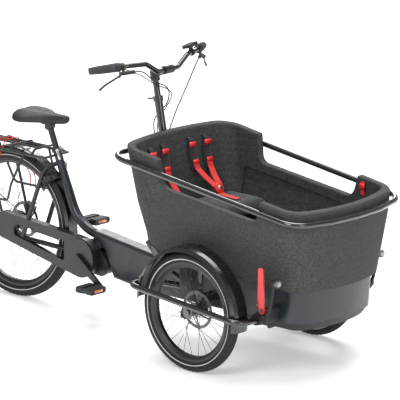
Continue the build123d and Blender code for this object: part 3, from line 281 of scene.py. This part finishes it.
FINISH = {
    "slate": ("main_frame", "rear_plate", "lower_shell"),
    "black": ("bumpers", "handrail", "handlebar", "steer_column"),
    "satin": ("rear_triangle", "front_chassis", "crank_set", "seat_post", "seat_clamp", "saddle_rails",
              "stem", "front_rim_right", "front_rim_left", "rear_rim", "brake_lever_right",
              "brake_lever_left"),
    "rack": ("rear_rack",),
    "gloss": ("fenders", "rear_mudguard"),
    "cover": ("chaincase",),
    "foam": ("box_shell",),
    "plastic": ("motor_unit", "ring_lock", "rear_caliper", "pedal_right", "pedal_left", "under_tray",
                "arch_liners", "bumper_mounts", "front_calipers", "front_lamps", "bar_controls", "shifter",
                "brake_bodies"),
    "spoke": ("rear_spokes", "front_spokes_right", "front_spokes_left"),
    "steel": ("chain", "kingpin", "rear_hub", "front_hub_right", "front_hub_left", "front_bolts"),
    "silver": ("seat_lever",),
    "red": ("lock_lever",),
    "red_plastic": ("harness_buckles",),
    "braid": ("rack_straps",),
    "lens_red": ("tail_light",),
    "grip": ("grips",),
    "cushion": ("bench", "harness_pads"),
    "webbing": ("harness_straps",),
    "saddle": ("saddle_top",),
    "sheath": ("cables",),
}
for key, names in FINISH.items():
    for name in names:
        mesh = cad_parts[name].data
        mesh.materials.clear()
        mesh.materials.append(M[key])


# ---------------------------------------------------------------- mesh helpers
def add(name, mesh, key, body, smooth=True):
    """Link a mesh as a piece that rides on a body."""
    made = bpy.data.objects.new(name, mesh)
    bpy.context.collection.objects.link(made)
    if key:
        mesh.materials.append(M[key] if isinstance(key, str) else key)
    if smooth:
        for face in mesh.polygons:
            face.use_smooth = True
    if body:
        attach(made, body)
    return made


def closed_mesh(name, verts, faces):
    """A mesh with its faces turned outward."""
    mesh = bpy.data.meshes.new(name)
    mesh.from_pydata(verts, [], faces)
    fixed = bmesh.new()
    fixed.from_mesh(mesh)
    bmesh.ops.recalc_face_normals(fixed, faces=fixed.faces)
    fixed.to_mesh(mesh)
    fixed.free()
    return mesh


def skin(name, loops, close_v=False):
    """A mesh through closed loops of points; close_v joins the last loop to the first, or else caps both."""
    verts = [p for loop in loops for p in loop]
    n, m = len(loops), len(loops[0])
    faces = []
    for i in range(n if close_v else n - 1):
        k = (i + 1) % n
        for j in range(m):
            jj = (j + 1) % m
            faces.append((i * m + j, i * m + jj, k * m + jj, k * m + j))
    if not close_v:
        faces.append(tuple(reversed(range(m))))
        faces.append(tuple(range((n - 1) * m, n * m)))
    return closed_mesh(name, verts, faces)


def subdivide(obj, levels=2):
    """Apply a subdivision surface."""
    mod = obj.modifiers.new("sub", "SUBSURF")
    mod.levels = mod.render_levels = levels
    bpy.context.view_layer.update()
    deps = bpy.context.evaluated_depsgraph_get()
    obj.data = bpy.data.meshes.new_from_object(obj.evaluated_get(deps))
    obj.modifiers.clear()
    return obj


def frame_along(direction):
    """Two unit vectors square to a direction."""
    d = direction.normalized()
    side = d.cross(Vector((0, 0, 1)))
    if side.length < 1e-4:
        side = d.cross(Vector((1, 0, 0)))
    side.normalize()
    return side, side.cross(d).normalized()


def turned(name, start, end, profile, count=40):
    """A solid of revolution; profile is (share of the way, radius) pairs."""
    a, b = Vector(start), Vector(end)
    u, v = frame_along(b - a)
    loops = []
    for share, r in profile:
        c = a.lerp(b, share)
        loops.append([c + (u * math.cos(t) + v * math.sin(t)) * r
                      for t in (2 * math.pi * i / count for i in range(count))])
    return skin(name, loops)


def strap(name, points, across, width, thick):
    """A flat band along points; across is the direction of its width."""
    loops = []
    across = Vector(across).normalized()
    pts = [Vector(p) for p in points]
    for i, p in enumerate(pts):
        way = (pts[min(i + 1, len(pts) - 1)] - pts[max(i - 1, 0)]).normalized()
        out = way.cross(across).normalized()
        w, t = across * width / 2, out * thick / 2
        e = across * (width / 2 - thick * 0.4)
        loops.append([p - w, p - e + t, p + e + t, p + w, p + e - t, p - e - t])
    return skin(name, loops)


def nurbs(name, points, radius, key, body):
    """A smooth round cord through control points."""
    curve = bpy.data.curves.new(name, "CURVE")
    curve.dimensions = "3D"
    curve.bevel_depth = radius
    curve.bevel_resolution = 4
    curve.resolution_u = 12
    curve.use_fill_caps = True
    line = curve.splines.new("NURBS")
    line.points.add(len(points) - 1)
    for point, p in zip(line.points, points):
        point.co = (*p, 1)
    line.order_u = 3
    line.use_endpoint_u = True
    made = bpy.data.objects.new(name, curve)
    bpy.context.collection.objects.link(made)
    curve.materials.append(M[key])
    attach(made, body)
    return made


# ---------------------------------------------------------------- tyres
def tyre(node, body, centre, radius, cross, line_radius):
    """Tyre with a cut tread, standing where the plain one stands."""
    steps = int(2 * math.pi * radius / 0.0032) // 8 * 8
    arc = 44
    core = radius - cross
    loops = []
    for i in range(steps):
        a = 2 * math.pi * i / steps
        loop = []
        for j in range(arc + 1):
            phi = math.radians(-152 + 304 * j / arc)
            r = cross
            tilt = abs(math.degrees(phi))
            phase = (i % 8) / 8.0
            if 5 < tilt < 42:
                lean = (phase + tilt / 60.0) % 1.0
                r -= 0.0016 if lean < 0.26 else 0.0
            elif tilt <= 5:
                r -= 0.0012 if tilt < 2.5 else 0.0
            loop.append((core + r * math.cos(phi), r * math.sin(phi)))
        inner = cross - 0.0042
        for j in range(12, -1, -1):
            phi = math.radians(-148 + 296 * j / 12)
            loop.append((core + inner * math.cos(phi), inner * math.sin(phi)))
        loops.append([Vector((centre[0] + rr * math.sin(a), centre[1] + y, centre[2] + rr * math.cos(a)))
                      for rr, y in loop])
    mesh = skin(node + "_treaded", loops, close_v=True)
    rubbery = tyre_rubber(node + "_rubber", centre, radius, line_radius)
    made = add(node + "_treaded", mesh, rubbery, body)
    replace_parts(made, node)


FRONT_Z, REAR_Z = 0.254, 0.333
tyre("front_tyre_right", "front_wheel_right", at(0, -0.377, FRONT_Z), 0.254, 0.0255, 0.223)
tyre("front_tyre_left", "front_wheel_left", at(0, 0.377, FRONT_Z), 0.254, 0.0255, 0.223)
tyre("rear_tyre", "rear_wheel", at(-1.366, 0, REAR_Z), 0.333, 0.027, 0.301)

# ---------------------------------------------------------------- saddle
STATIONS = (  # x, half width, crown height, edge height, droop of the sides
    (-1.3235, 0.040, 0.846, 0.832, 0.004),
    (-1.316, 0.076, 0.853, 0.828, 0.010),
    (-1.298, 0.099, 0.856, 0.820, 0.020),
    (-1.272, 0.1085, 0.856, 0.815, 0.024),
    (-1.245, 0.106, 0.854, 0.815, 0.024),
    (-1.212, 0.088, 0.852, 0.817, 0.022),
    (-1.180, 0.063, 0.851, 0.818, 0.022),
    (-1.145, 0.042, 0.851, 0.819, 0.022),
    (-1.110, 0.031, 0.852, 0.821, 0.020),
    (-1.080, 0.026, 0.853, 0.824, 0.018),
    (-1.062, 0.021, 0.852, 0.828, 0.012),
    (-1.0535, 0.011, 0.848, 0.834, 0.004),
)


def saddle():
    """Comfort saddle: domed top, rolled edge, shallow centre channel."""
    loops = []
    count = 32
    for x, half, crown, edge, droop in STATIONS:
        loop = []
        for i in range(count):
            t = 2 * math.pi * i / count
            c, s = math.cos(t), math.sin(t)
            y = half * math.copysign(abs(c) ** 0.8, c)
            if s >= 0:
                z = edge + (crown - edge) * abs(s) ** 0.85
                z -= 0.0035 * math.exp(-(y / 0.012) ** 2) * (1 if half > 0.03 else 0.3)
            else:
                z = edge - min(droop, 0.012) * abs(s) ** 1.4
            loop.append(at(x, y, z))
        loops.append(loop)
    made = add("saddle_cover", skin("saddle_cover", loops), "saddle", None)
    subdivide(made, 2)
    for face in made.data.polygons:
        face.use_smooth = True
    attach(made, "seat")
    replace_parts(made, "saddle_top")
    for side, tag in ((-1, "right"), (1, "left")):
        seam = [at(x, side * half * 0.93, edge + (crown - edge) * 0.36)
                for x, half, crown, edge, _ in STATIONS[1:-1]]
        nurbs(f"saddle_piping_{tag}", seam, 0.0014, "sheath", "seat")


saddle()

# ---------------------------------------------------------------- grips
BAR = Vector((-0.505, 0.215, 1.186)), Vector((-0.590, 0.352, 1.173))


def on_bar(side, along):
    """Point on the bar's last straight run, along in metres."""
    a, b = BAR
    p = a + (b - a).normalized() * along
    return at(p.x, side * p.y, p.z)


def grip(side, tag):
    """Ribbed grip that narrows outward, with a collar and a rounded end."""
    profile = [(0.0, 0.0115), (0.0, 0.0185), (0.02, 0.0195), (0.045, 0.0195), (0.055, 0.018)]
    ribs = 30
    for i in range(ribs):
        share = 0.06 + 0.88 * i / ribs
        r = 0.0188 - 0.0035 * (i / ribs) + 0.001 * math.sin(math.pi * i / ribs)
        profile += [(share, r), (share + 0.012, r), (share + 0.016, r - 0.0011), (share + 0.026, r - 0.0011)]
    profile += [(0.955, 0.0155), (0.985, 0.0152), (0.997, 0.013), (1.0, 0.008), (1.0, 0.001)]
    mesh = turned(f"grip_{tag}", on_bar(side, 0.0545), on_bar(side, 0.1657), profile)
    return add(f"grip_{tag}", mesh, "grip", "front_unit")


for side, tag in ((-1, "right"), (1, "left")):
    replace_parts(grip(side, tag), "grips")

# ---------------------------------------------------------------- cables
GUIDE_X = -0.4974          # column axis at the cable guide
ROUTES = {                 # radius and route points, from the front axle line
    "brake_hose_right": (0.0028, [
        (-0.4730, -0.1997, 1.1639), (-0.4548, -0.1737, 1.1693), (-0.486, -0.070, 1.096),
        (-0.484, 0.024, 1.062), (-0.505, 0.038, 0.985), (-0.552, 0.022, 0.938), (-0.550, -0.012, 0.900),
        (GUIDE_X - 0.024, -0.026, 0.850)]),
    "shift_cable": (0.0023, [
        (-0.5396, -0.2280, 1.1754), (-0.500, -0.150, 1.146), (-0.500, -0.060, 1.084),
        (-0.478, 0.050, 1.040), (-0.512, 0.028, 0.962), (-0.543, 0.018, 0.922), (-0.530, -0.006, 0.885),
        (GUIDE_X - 0.026, -0.009, 0.850)]),
    "brake_hose_left": (0.0028, [
        (-0.4730, 0.1997, 1.1639), (-0.4548, 0.1737, 1.1693), (-0.470, 0.104, 1.036),
        (-0.484, 0.054, 0.940), (GUIDE_X - 0.004, 0.029, 0.850)]),
}


def spline_length(obj):
    """Length of a cord's own line."""
    depth, obj.data.bevel_depth = obj.data.bevel_depth, 0.0
    bpy.context.view_layer.update()
    line = bpy.data.meshes.new_from_object(obj.evaluated_get(bpy.context.evaluated_depsgraph_get()))
    obj.data.bevel_depth = depth
    points = [v.co for v in line.vertices]
    return sum((b - a).length for a, b in zip(points, points[1:]))


for name, (radius, points) in ROUTES.items():
    hose = nurbs(name, [at(*p) for p in points], radius, "sheath", "front_unit")
    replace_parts(hose, "cables")
    round(spline_length(hose), 3)

# ---------------------------------------------------------------- load box: harness and bench
SLOTS = (-0.170, -0.085, 0.085, 0.170)
SEAT_TOP = 0.600


def wall_x(z, y=0.1275):
    """Inner face of the bowed rear wall."""
    t = (z - 0.640) / 0.260
    return -0.395 - t * 0.050 + 0.038 * (y / (0.283 + t * 0.020)) ** 2


def pad(name, y, y_low, z_top, z_low, width):
    """Flat shoulder pad with a rounded edge, leaning in toward the buckle."""
    loops = []
    steps = 14
    for i in range(steps + 1):
        t = i / steps
        z = z_top + (z_low - z_top) * t
        yy = y + (y_low - y) * t
        x = wall_x(z, yy) + 0.009
        half = width / 2 * min(1.0, 0.72 + 3.0 * min(t, 1 - t))
        thick = 0.0045 * min(1.0, 0.45 + 6.0 * min(t, 1 - t)) * (1 - 0.25 * math.cos(t * math.pi * 10) ** 8)
        loop = []
        for k in range(16):
            a = 2 * math.pi * k / 16
            c, s = math.cos(a), math.sin(a)
            out = thick * math.copysign(abs(s) ** 0.6, s)
            across = half * math.copysign(abs(c) ** 0.5, c)
            loop.append(at(x + out, yy + across, z))
        loops.append(loop)
    return add(name, skin(name, loops), "pad", "front_unit")


ACROSS = (0, 1, 0)


def slider(name, x, y, z, width=0.034):
    """Red ladder lock on a strap."""
    steps = ((0.0, 0.011), (0.005, 0.005), (0.005, -0.005), (0.0, -0.011))
    slide = [at(x + dx, y, z + dz) for dx, dz in steps]
    add(name, strap(name, slide, ACROSS, width, 0.005), "red_plastic", "front_unit")


def belt(name, points, width, key, node=None, across=ACROSS):
    """A length of webbing inside the box."""
    made = add(name, strap(name, points, across, width, 0.0028), key, "front_unit", smooth=False)
    if node:
        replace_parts(made, node)
    return made


def shoulder(tag, y, mid, buckle):
    """One shoulder strap from its slot to the buckle, with its pad and two ladder locks."""
    lean = mid + (y - mid) * 0.86
    near = mid + (y - mid) * 0.90
    made = pad(f"shoulder_pad_{tag}", y, lean, 0.816, 0.706, 0.046)
    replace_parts(made, "harness_pads")
    top = [at(wall_x(0.846, y) - 0.020, y, 0.842), at(wall_x(0.842, y) + 0.004, y, 0.840),
           at(wall_x(0.832, y) + 0.011, y, 0.830), at(wall_x(0.806, y) + 0.013, y, 0.806)]
    belt(f"shoulder_strap_{tag}", top, 0.026, "webbing", "harness_straps")
    slider(f"top_slider_{tag}", wall_x(0.812, y) + 0.013, y, 0.812, 0.040)
    slider(f"low_slider_{tag}", wall_x(0.738, near) + 0.014, near, 0.738, 0.036)
    low = [at(wall_x(0.742, near) + 0.0165, near, 0.742), at(wall_x(0.712, lean) + 0.020, lean, 0.712),
           at(wall_x(0.676, mid) + 0.050, mid + (y - mid) * 0.60, 0.676),
           at(buckle.x - 0.004, mid + (y - mid) * 0.30, buckle.z + 0.010)]
    belt(f"lap_strap_{tag}", low, 0.033, "red_webbing")


def buckle_of(seat, mid, buckle):
    """Round buckle with its press button."""
    profile = [(0, 0.001), (0, 0.021), (0.12, 0.0245), (0.75, 0.0245), (0.92, 0.022), (1.0, 0.013),
               (1.0, 0.001)]
    shell = turned(f"buckle_{seat}", at(buckle.x - 0.006, mid, buckle.z - 0.002),
                   at(buckle.x + 0.008, mid, buckle.z + 0.004), profile, 36)
    made = add(f"buckle_{seat}", shell, "red_plastic", "front_unit")
    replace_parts(made, "harness_buckles")
    profile = [(0, 0.011), (0.6, 0.0108), (1, 0.009), (1, 0.0005)]
    press = turned(f"buckle_press_{seat}", at(buckle.x + 0.0078, mid, buckle.z + 0.004),
                   at(buckle.x + 0.011, mid, buckle.z + 0.0053), profile, 30)
    add(f"buckle_press_{seat}", press, "silver", "front_unit")


def harness(seat, inner, outer):
    """Two padded shoulder straps that meet at one buckle, and the strap from the bench to it."""
    mid = (inner + outer) / 2
    buckle = Vector((wall_x(0.66, mid) + 0.092, mid, 0.634))
    for k, y in enumerate((inner, outer)):
        shoulder(f"{seat}_{k}", y, mid, buckle)
    buckle_of(seat, mid, buckle)
    crotch = [at(buckle.x + 0.004, mid, buckle.z - 0.016), at(buckle.x + 0.014, mid, buckle.z - 0.021),
              at(buckle.x + 0.046, mid, SEAT_TOP + 0.009), at(buckle.x + 0.110, mid, SEAT_TOP + 0.006)]
    belt(f"crotch_strap_{seat}", crotch, 0.030, "red_webbing")


def corner_loop():
    """Short strap with a clip inside the left front corner."""
    x = 0.360
    along = (1, 0, 0)
    run = [at(x, y, z) for y, z in ((0.2835, 0.742), (0.2805, 0.722), (0.2800, 0.702), (0.2825, 0.684))]
    belt("corner_loop", run, 0.022, "red_webbing", "harness_straps", along)
    clip = [at(x, y, z) for y, z in ((0.2780, 0.734), (0.2745, 0.728), (0.2745, 0.716), (0.2780, 0.710))]
    add("corner_clip", strap("corner_clip", clip, along, 0.028, 0.005), "red_plastic", "front_unit")


corner_loop()
harness("right", SLOTS[1], SLOTS[0])
harness("left", SLOTS[2], SLOTS[3])


def cushion(name, x0, x1, y0, y1, z0, z1):
    """Crowned seat cushion with rounded corners and sewn channels."""
    nx, ny = 36, 40
    top, bottom = [], []
    for i in range(nx + 1):
        row_t, row_b = [], []
        for j in range(ny + 1):
            u, v = -1 + 2 * i / nx, -1 + 2 * j / ny
            su, sv = abs(u), abs(v)
            edge = (1 - su ** 7) * (1 - sv ** 9)
            pull = 0.004 * (1 - su ** 2) * sv ** 6
            x = (x0 + x1) / 2 + u * (x1 - x0) / 2 * (1 - 0.03 * sv ** 6)
            y = (y0 + y1) / 2 + v * ((y1 - y0) / 2 - pull)
            swell = (z1 - z0) * (0.34 + 0.66 * edge ** 0.35) if edge > 1e-9 else (z1 - z0) * 0.34
            groove = sum(math.exp(-((u - c) / 0.035) ** 2) for c in (-0.33, 0.33))
            z = z0 + swell - 0.005 * groove * edge
            row_t.append(at(x, y, min(z, z1)))
            row_b.append(at(x, y, z0 + 0.002 * (1 - edge)))
        top.append(row_t)
        bottom.append(row_b)
    verts = [p for row in top for p in row] + [p for row in bottom for p in row]
    n = (nx + 1) * (ny + 1)
    faces = []
    for i in range(nx):
        for j in range(ny):
            a = i * (ny + 1) + j
            quad = (a, a + 1, a + ny + 2, a + ny + 1)
            faces.append(tuple(reversed(quad)))
            faces.append(tuple(n + k for k in quad))
    rim = [(i, 0) for i in range(nx)] + [(nx, j) for j in range(ny)]
    rim += [(i, ny) for i in range(nx, 0, -1)] + [(0, j) for j in range(ny, 0, -1)]
    ids = [i * (ny + 1) + j for i, j in rim]
    for a, b in zip(ids, ids[1:] + ids[:1]):
        faces.append((a, b, n + b, n + a))
    made = add(name, closed_mesh(name, verts, faces), "cushion", "front_unit")
    return made


low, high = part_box("bench")
low, high = low - Vector((AXLE_X, 0, 0)), high - Vector((AXLE_X, 0, 0))
for tag, y0, y1 in (("right", low.y + 0.001, -0.002), ("left", 0.002, high.y - 0.001)):
    made = cushion(f"bench_cushion_{tag}", low.x + 0.001, high.x - 0.001, y0, y1, low.z + 0.0005, high.z)
    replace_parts(made, "bench")

# ---------------------------------------------------------------- chain
def belt_path(front, back, r_front, r_back, pitch):
    """Points round two wheels at an even pitch, with the direction of travel."""
    (x0, z0), (x1, z1) = front, back
    gap = math.hypot(x1 - x0, z1 - z0)
    base = math.atan2(z1 - z0, x1 - x0)
    lean = math.acos((r_front - r_back) / gap)
    line = []
    for k in range(61):
        a = base + lean + (2 * math.pi - 2 * lean) * k / 60
        line.append(Vector((x0 + r_front * math.cos(a), 0, z0 + r_front * math.sin(a))))
    for k in range(61):
        a = base - lean + 2 * lean * k / 60
        line.append(Vector((x1 + r_back * math.cos(a), 0, z1 + r_back * math.sin(a))))
    line.append(line[0].copy())
    total = sum((b - a).length for a, b in zip(line, line[1:]))
    count = round(total / pitch)
    made, walked, index = [], 0.0, 0
    for k in range(count):
        goal = total * k / count
        while walked + (line[index + 1] - line[index]).length < goal:
            walked += (line[index + 1] - line[index]).length
            index += 1
        way = (line[index + 1] - line[index])
        made.append((line[index] + way.normalized() * (goal - walked), way.normalized()))
    return made


def chain():
    """Roller chain: paired outer and inner plates on their pins."""
    verts, faces = [], []
    stops = belt_path((-0.912, 0.264), (-1.366, 0.333), 0.0752, 0.0402, 0.0127)
    for k, (p, _) in enumerate(stops):
        q = stops[(k + 1) % len(stops)][0]
        way = (q - p).normalized()
        up = Vector((-way.z, 0, way.x))
        off = 0.0032 if k % 2 else 0.0022
        for y in (-off, off):
            ring = []
            for end, sign in ((p, -1), (q, 1)):
                for t in (-75, -25, 25, 75):
                    a = math.radians(t)
                    ring.append(end + way * sign * 0.0036 * math.cos(a) + up * 0.0036 * math.sin(a) * sign)
                mid = (p + q) / 2
                ring.append(mid + up * 0.0022 * sign)
            start = len(verts)
            for dy in (-0.0004, 0.0004):
                verts.extend(at(v.x, -0.052 + y + dy, v.z) for v in ring)
            n = len(ring)
            faces.append(tuple(start + i for i in reversed(range(n))))
            faces.append(tuple(start + n + i for i in range(n)))
            faces.extend((start + i, start + (i + 1) % n, start + n + (i + 1) % n, start + n + i)
                         for i in range(n))
        start = len(verts)
        for y in (-0.0034, 0.0034):
            verts.extend(at(p.x + 0.0021 * math.cos(t), -0.052 + y, p.z + 0.0021 * math.sin(t))
                         for t in (2 * math.pi * i / 8 for i in range(8)))
        faces.append(tuple(start + i for i in range(8)))
        faces.append(tuple(start + 8 + i for i in reversed(range(8))))
        faces.extend((start + (i + 1) % 8, start + i, start + 8 + i, start + 8 + (i + 1) % 8)
                     for i in range(8))
    mesh = bpy.data.meshes.new("chain_links")
    mesh.from_pydata(verts, [], faces)
    made = add("chain_links", mesh, "steel", "rear_frame", smooth=False)
    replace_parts(made, "chain")


chain()

# ---------------------------------------------------------------- small parts
def plate(name, centre, size, key, body, bevel=0.002):
    """A block with softened edges."""
    made = bmesh.new()
    bmesh.ops.create_cube(made, size=1.0)
    for v in made.verts:
        v.co = Vector((v.co.x * size[0], v.co.y * size[1], v.co.z * size[2]))
    bmesh.ops.bevel(made, geom=made.edges[:], offset=bevel, segments=3, affect="EDGES")
    mesh = bpy.data.meshes.new(name)
    made.to_mesh(mesh)
    made.free()
    mesh.transform(Matrix.Translation(centre))
    return add(name, mesh, key, body)


CRANK = Vector((-0.912, 0, 0.264))
DROP = math.radians(36.0)
for side, tag in ((-1, "right"), (1, "left")):
    ex = CRANK.x - side * 0.170 * math.cos(DROP)
    ez = CRANK.z + side * 0.170 * math.sin(DROP)
    y = side * 0.159
    for k, dx in enumerate((-0.0455, 0.0455)):
        plate(f"reflector_{tag}_{k}", at(ex + dx, y, ez), (0.0035, 0.050, 0.011), "lens_amber",
              f"pedal_{tag}", 0.0012)

for side, tag in ((-1, "right"), (1, "left")):
    y = side * 0.327
    glass = turned(f"lamp_glass_{tag}", at(0.4318, y, 0.437), at(0.4345, y, 0.437),
                   [(0, 0.0005), (0, 0.0112), (0.5, 0.0108), (1.0, 0.0085), (1.0, 0.0005)], 32)
    add(f"lamp_glass_{tag}", glass, "lens_white", "front_unit")
    ring = turned(f"lamp_ring_{tag}", at(0.404, y, 0.437), at(0.4325, y, 0.437),
                  [(0, 0.0152), (0, 0.0162), (0.9, 0.0166), (1.0, 0.0150), (1.0, 0.0122), (0.6, 0.0122),
                   (0.6, 0.0152)], 36)
    add(f"lamp_ring_{tag}", ring, "steel", "front_unit")

# ---------------------------------------------------------------- stage
SOFTBOXES = (              # name, place, width, watts
    ("top", (0.3, 0.4, 5.5), 5.0, 150.0),
    ("key", (2.0, -4.5, 3.8), 2.6, 150.0),
    ("fill", (6.0, -1.0, 2.2), 2.6, 70.0),
    ("back", (-3.5, 4.5, 4.0), 3.0, 110.0),
)


def stage():
    """Wide pale floor, a white surround and soft lights."""
    size = 40.0
    mesh = bpy.data.meshes.new("floor")
    corners = [(-size, -size, 0), (size, -size, 0), (size, size, 0), (-size, size, 0)]
    mesh.from_pydata(corners, [], [(0, 1, 2, 3)])
    floor = bpy.data.objects.new("floor", mesh)
    bpy.context.collection.objects.link(floor)
    s = Shader("floor_paper", (0.9, 0.9, 0.9), 0.9, spec=0.1)
    s.rough(s.span(s.noise(3.0, 2.0), 0.3, 0.7, 0.85, 0.95))
    s.bsdf.inputs["Emission Color"].default_value = (1, 1, 1, 1)
    s.bsdf.inputs["Emission Strength"].default_value = 0.3
    mesh.materials.append(s.material)
    world = bpy.data.worlds.new("studio")
    bpy.context.scene.world = world
    world.use_nodes = True
    tree = world.node_tree
    tree.nodes["Background"].inputs[0].default_value = (0.97, 0.985, 1.0, 1)
    seen = tree.nodes.new("ShaderNodeMapRange")
    seen.inputs["To Min"].default_value = 0.42
    seen.inputs["To Max"].default_value = 1.0
    tree.links.new(tree.nodes.new("ShaderNodeLightPath").outputs["Is Camera Ray"], seen.inputs["Value"])
    tree.links.new(seen.outputs[0], tree.nodes["Background"].inputs[1])
    sun = bpy.data.lights.new("overhead", "SUN")
    sun.energy = 1.7
    sun.angle = math.radians(38.0)
    made = bpy.data.objects.new("overhead", sun)
    bpy.context.collection.objects.link(made)
    made.rotation_euler = (Vector((0, 0, 0)) - Vector((-0.5, 1.1, 4.0))).to_track_quat("-Z", "Y").to_euler()
    for name, place, size, power in SOFTBOXES:
        light = bpy.data.lights.new(name, "AREA")
        light.shape = "DISK"
        light.size = size
        light.energy = power
        made = bpy.data.objects.new(name, light)
        bpy.context.collection.objects.link(made)
        made.location = place
        made.rotation_euler = (Vector((0, 0, 0.5)) - Vector(place)).to_track_quat("-Z", "Y").to_euler()


stage()

AZIMUTH, ELEVATION, DISTANCE = math.radians(41.94), math.radians(14.026), 18.0
TARGET = at(-0.2915, 0, 0.6075)
camera = bpy.data.cameras.new("camera")
camera.lens = 386.2
camera.sensor_width = 36.0
camera.clip_end = 200.0
viewer = bpy.data.objects.new("camera", camera)
bpy.context.collection.objects.link(viewer)
level = math.cos(ELEVATION)
away = Vector((math.sin(AZIMUTH) * level, -math.cos(AZIMUTH) * level, math.sin(ELEVATION)))
viewer.location = TARGET + away * DISTANCE
viewer.rotation_euler = (-away).to_track_quat("-Z", "Y").to_euler()
bpy.context.scene.camera = viewer
bpy.context.scene.view_settings.view_transform = "Standard"
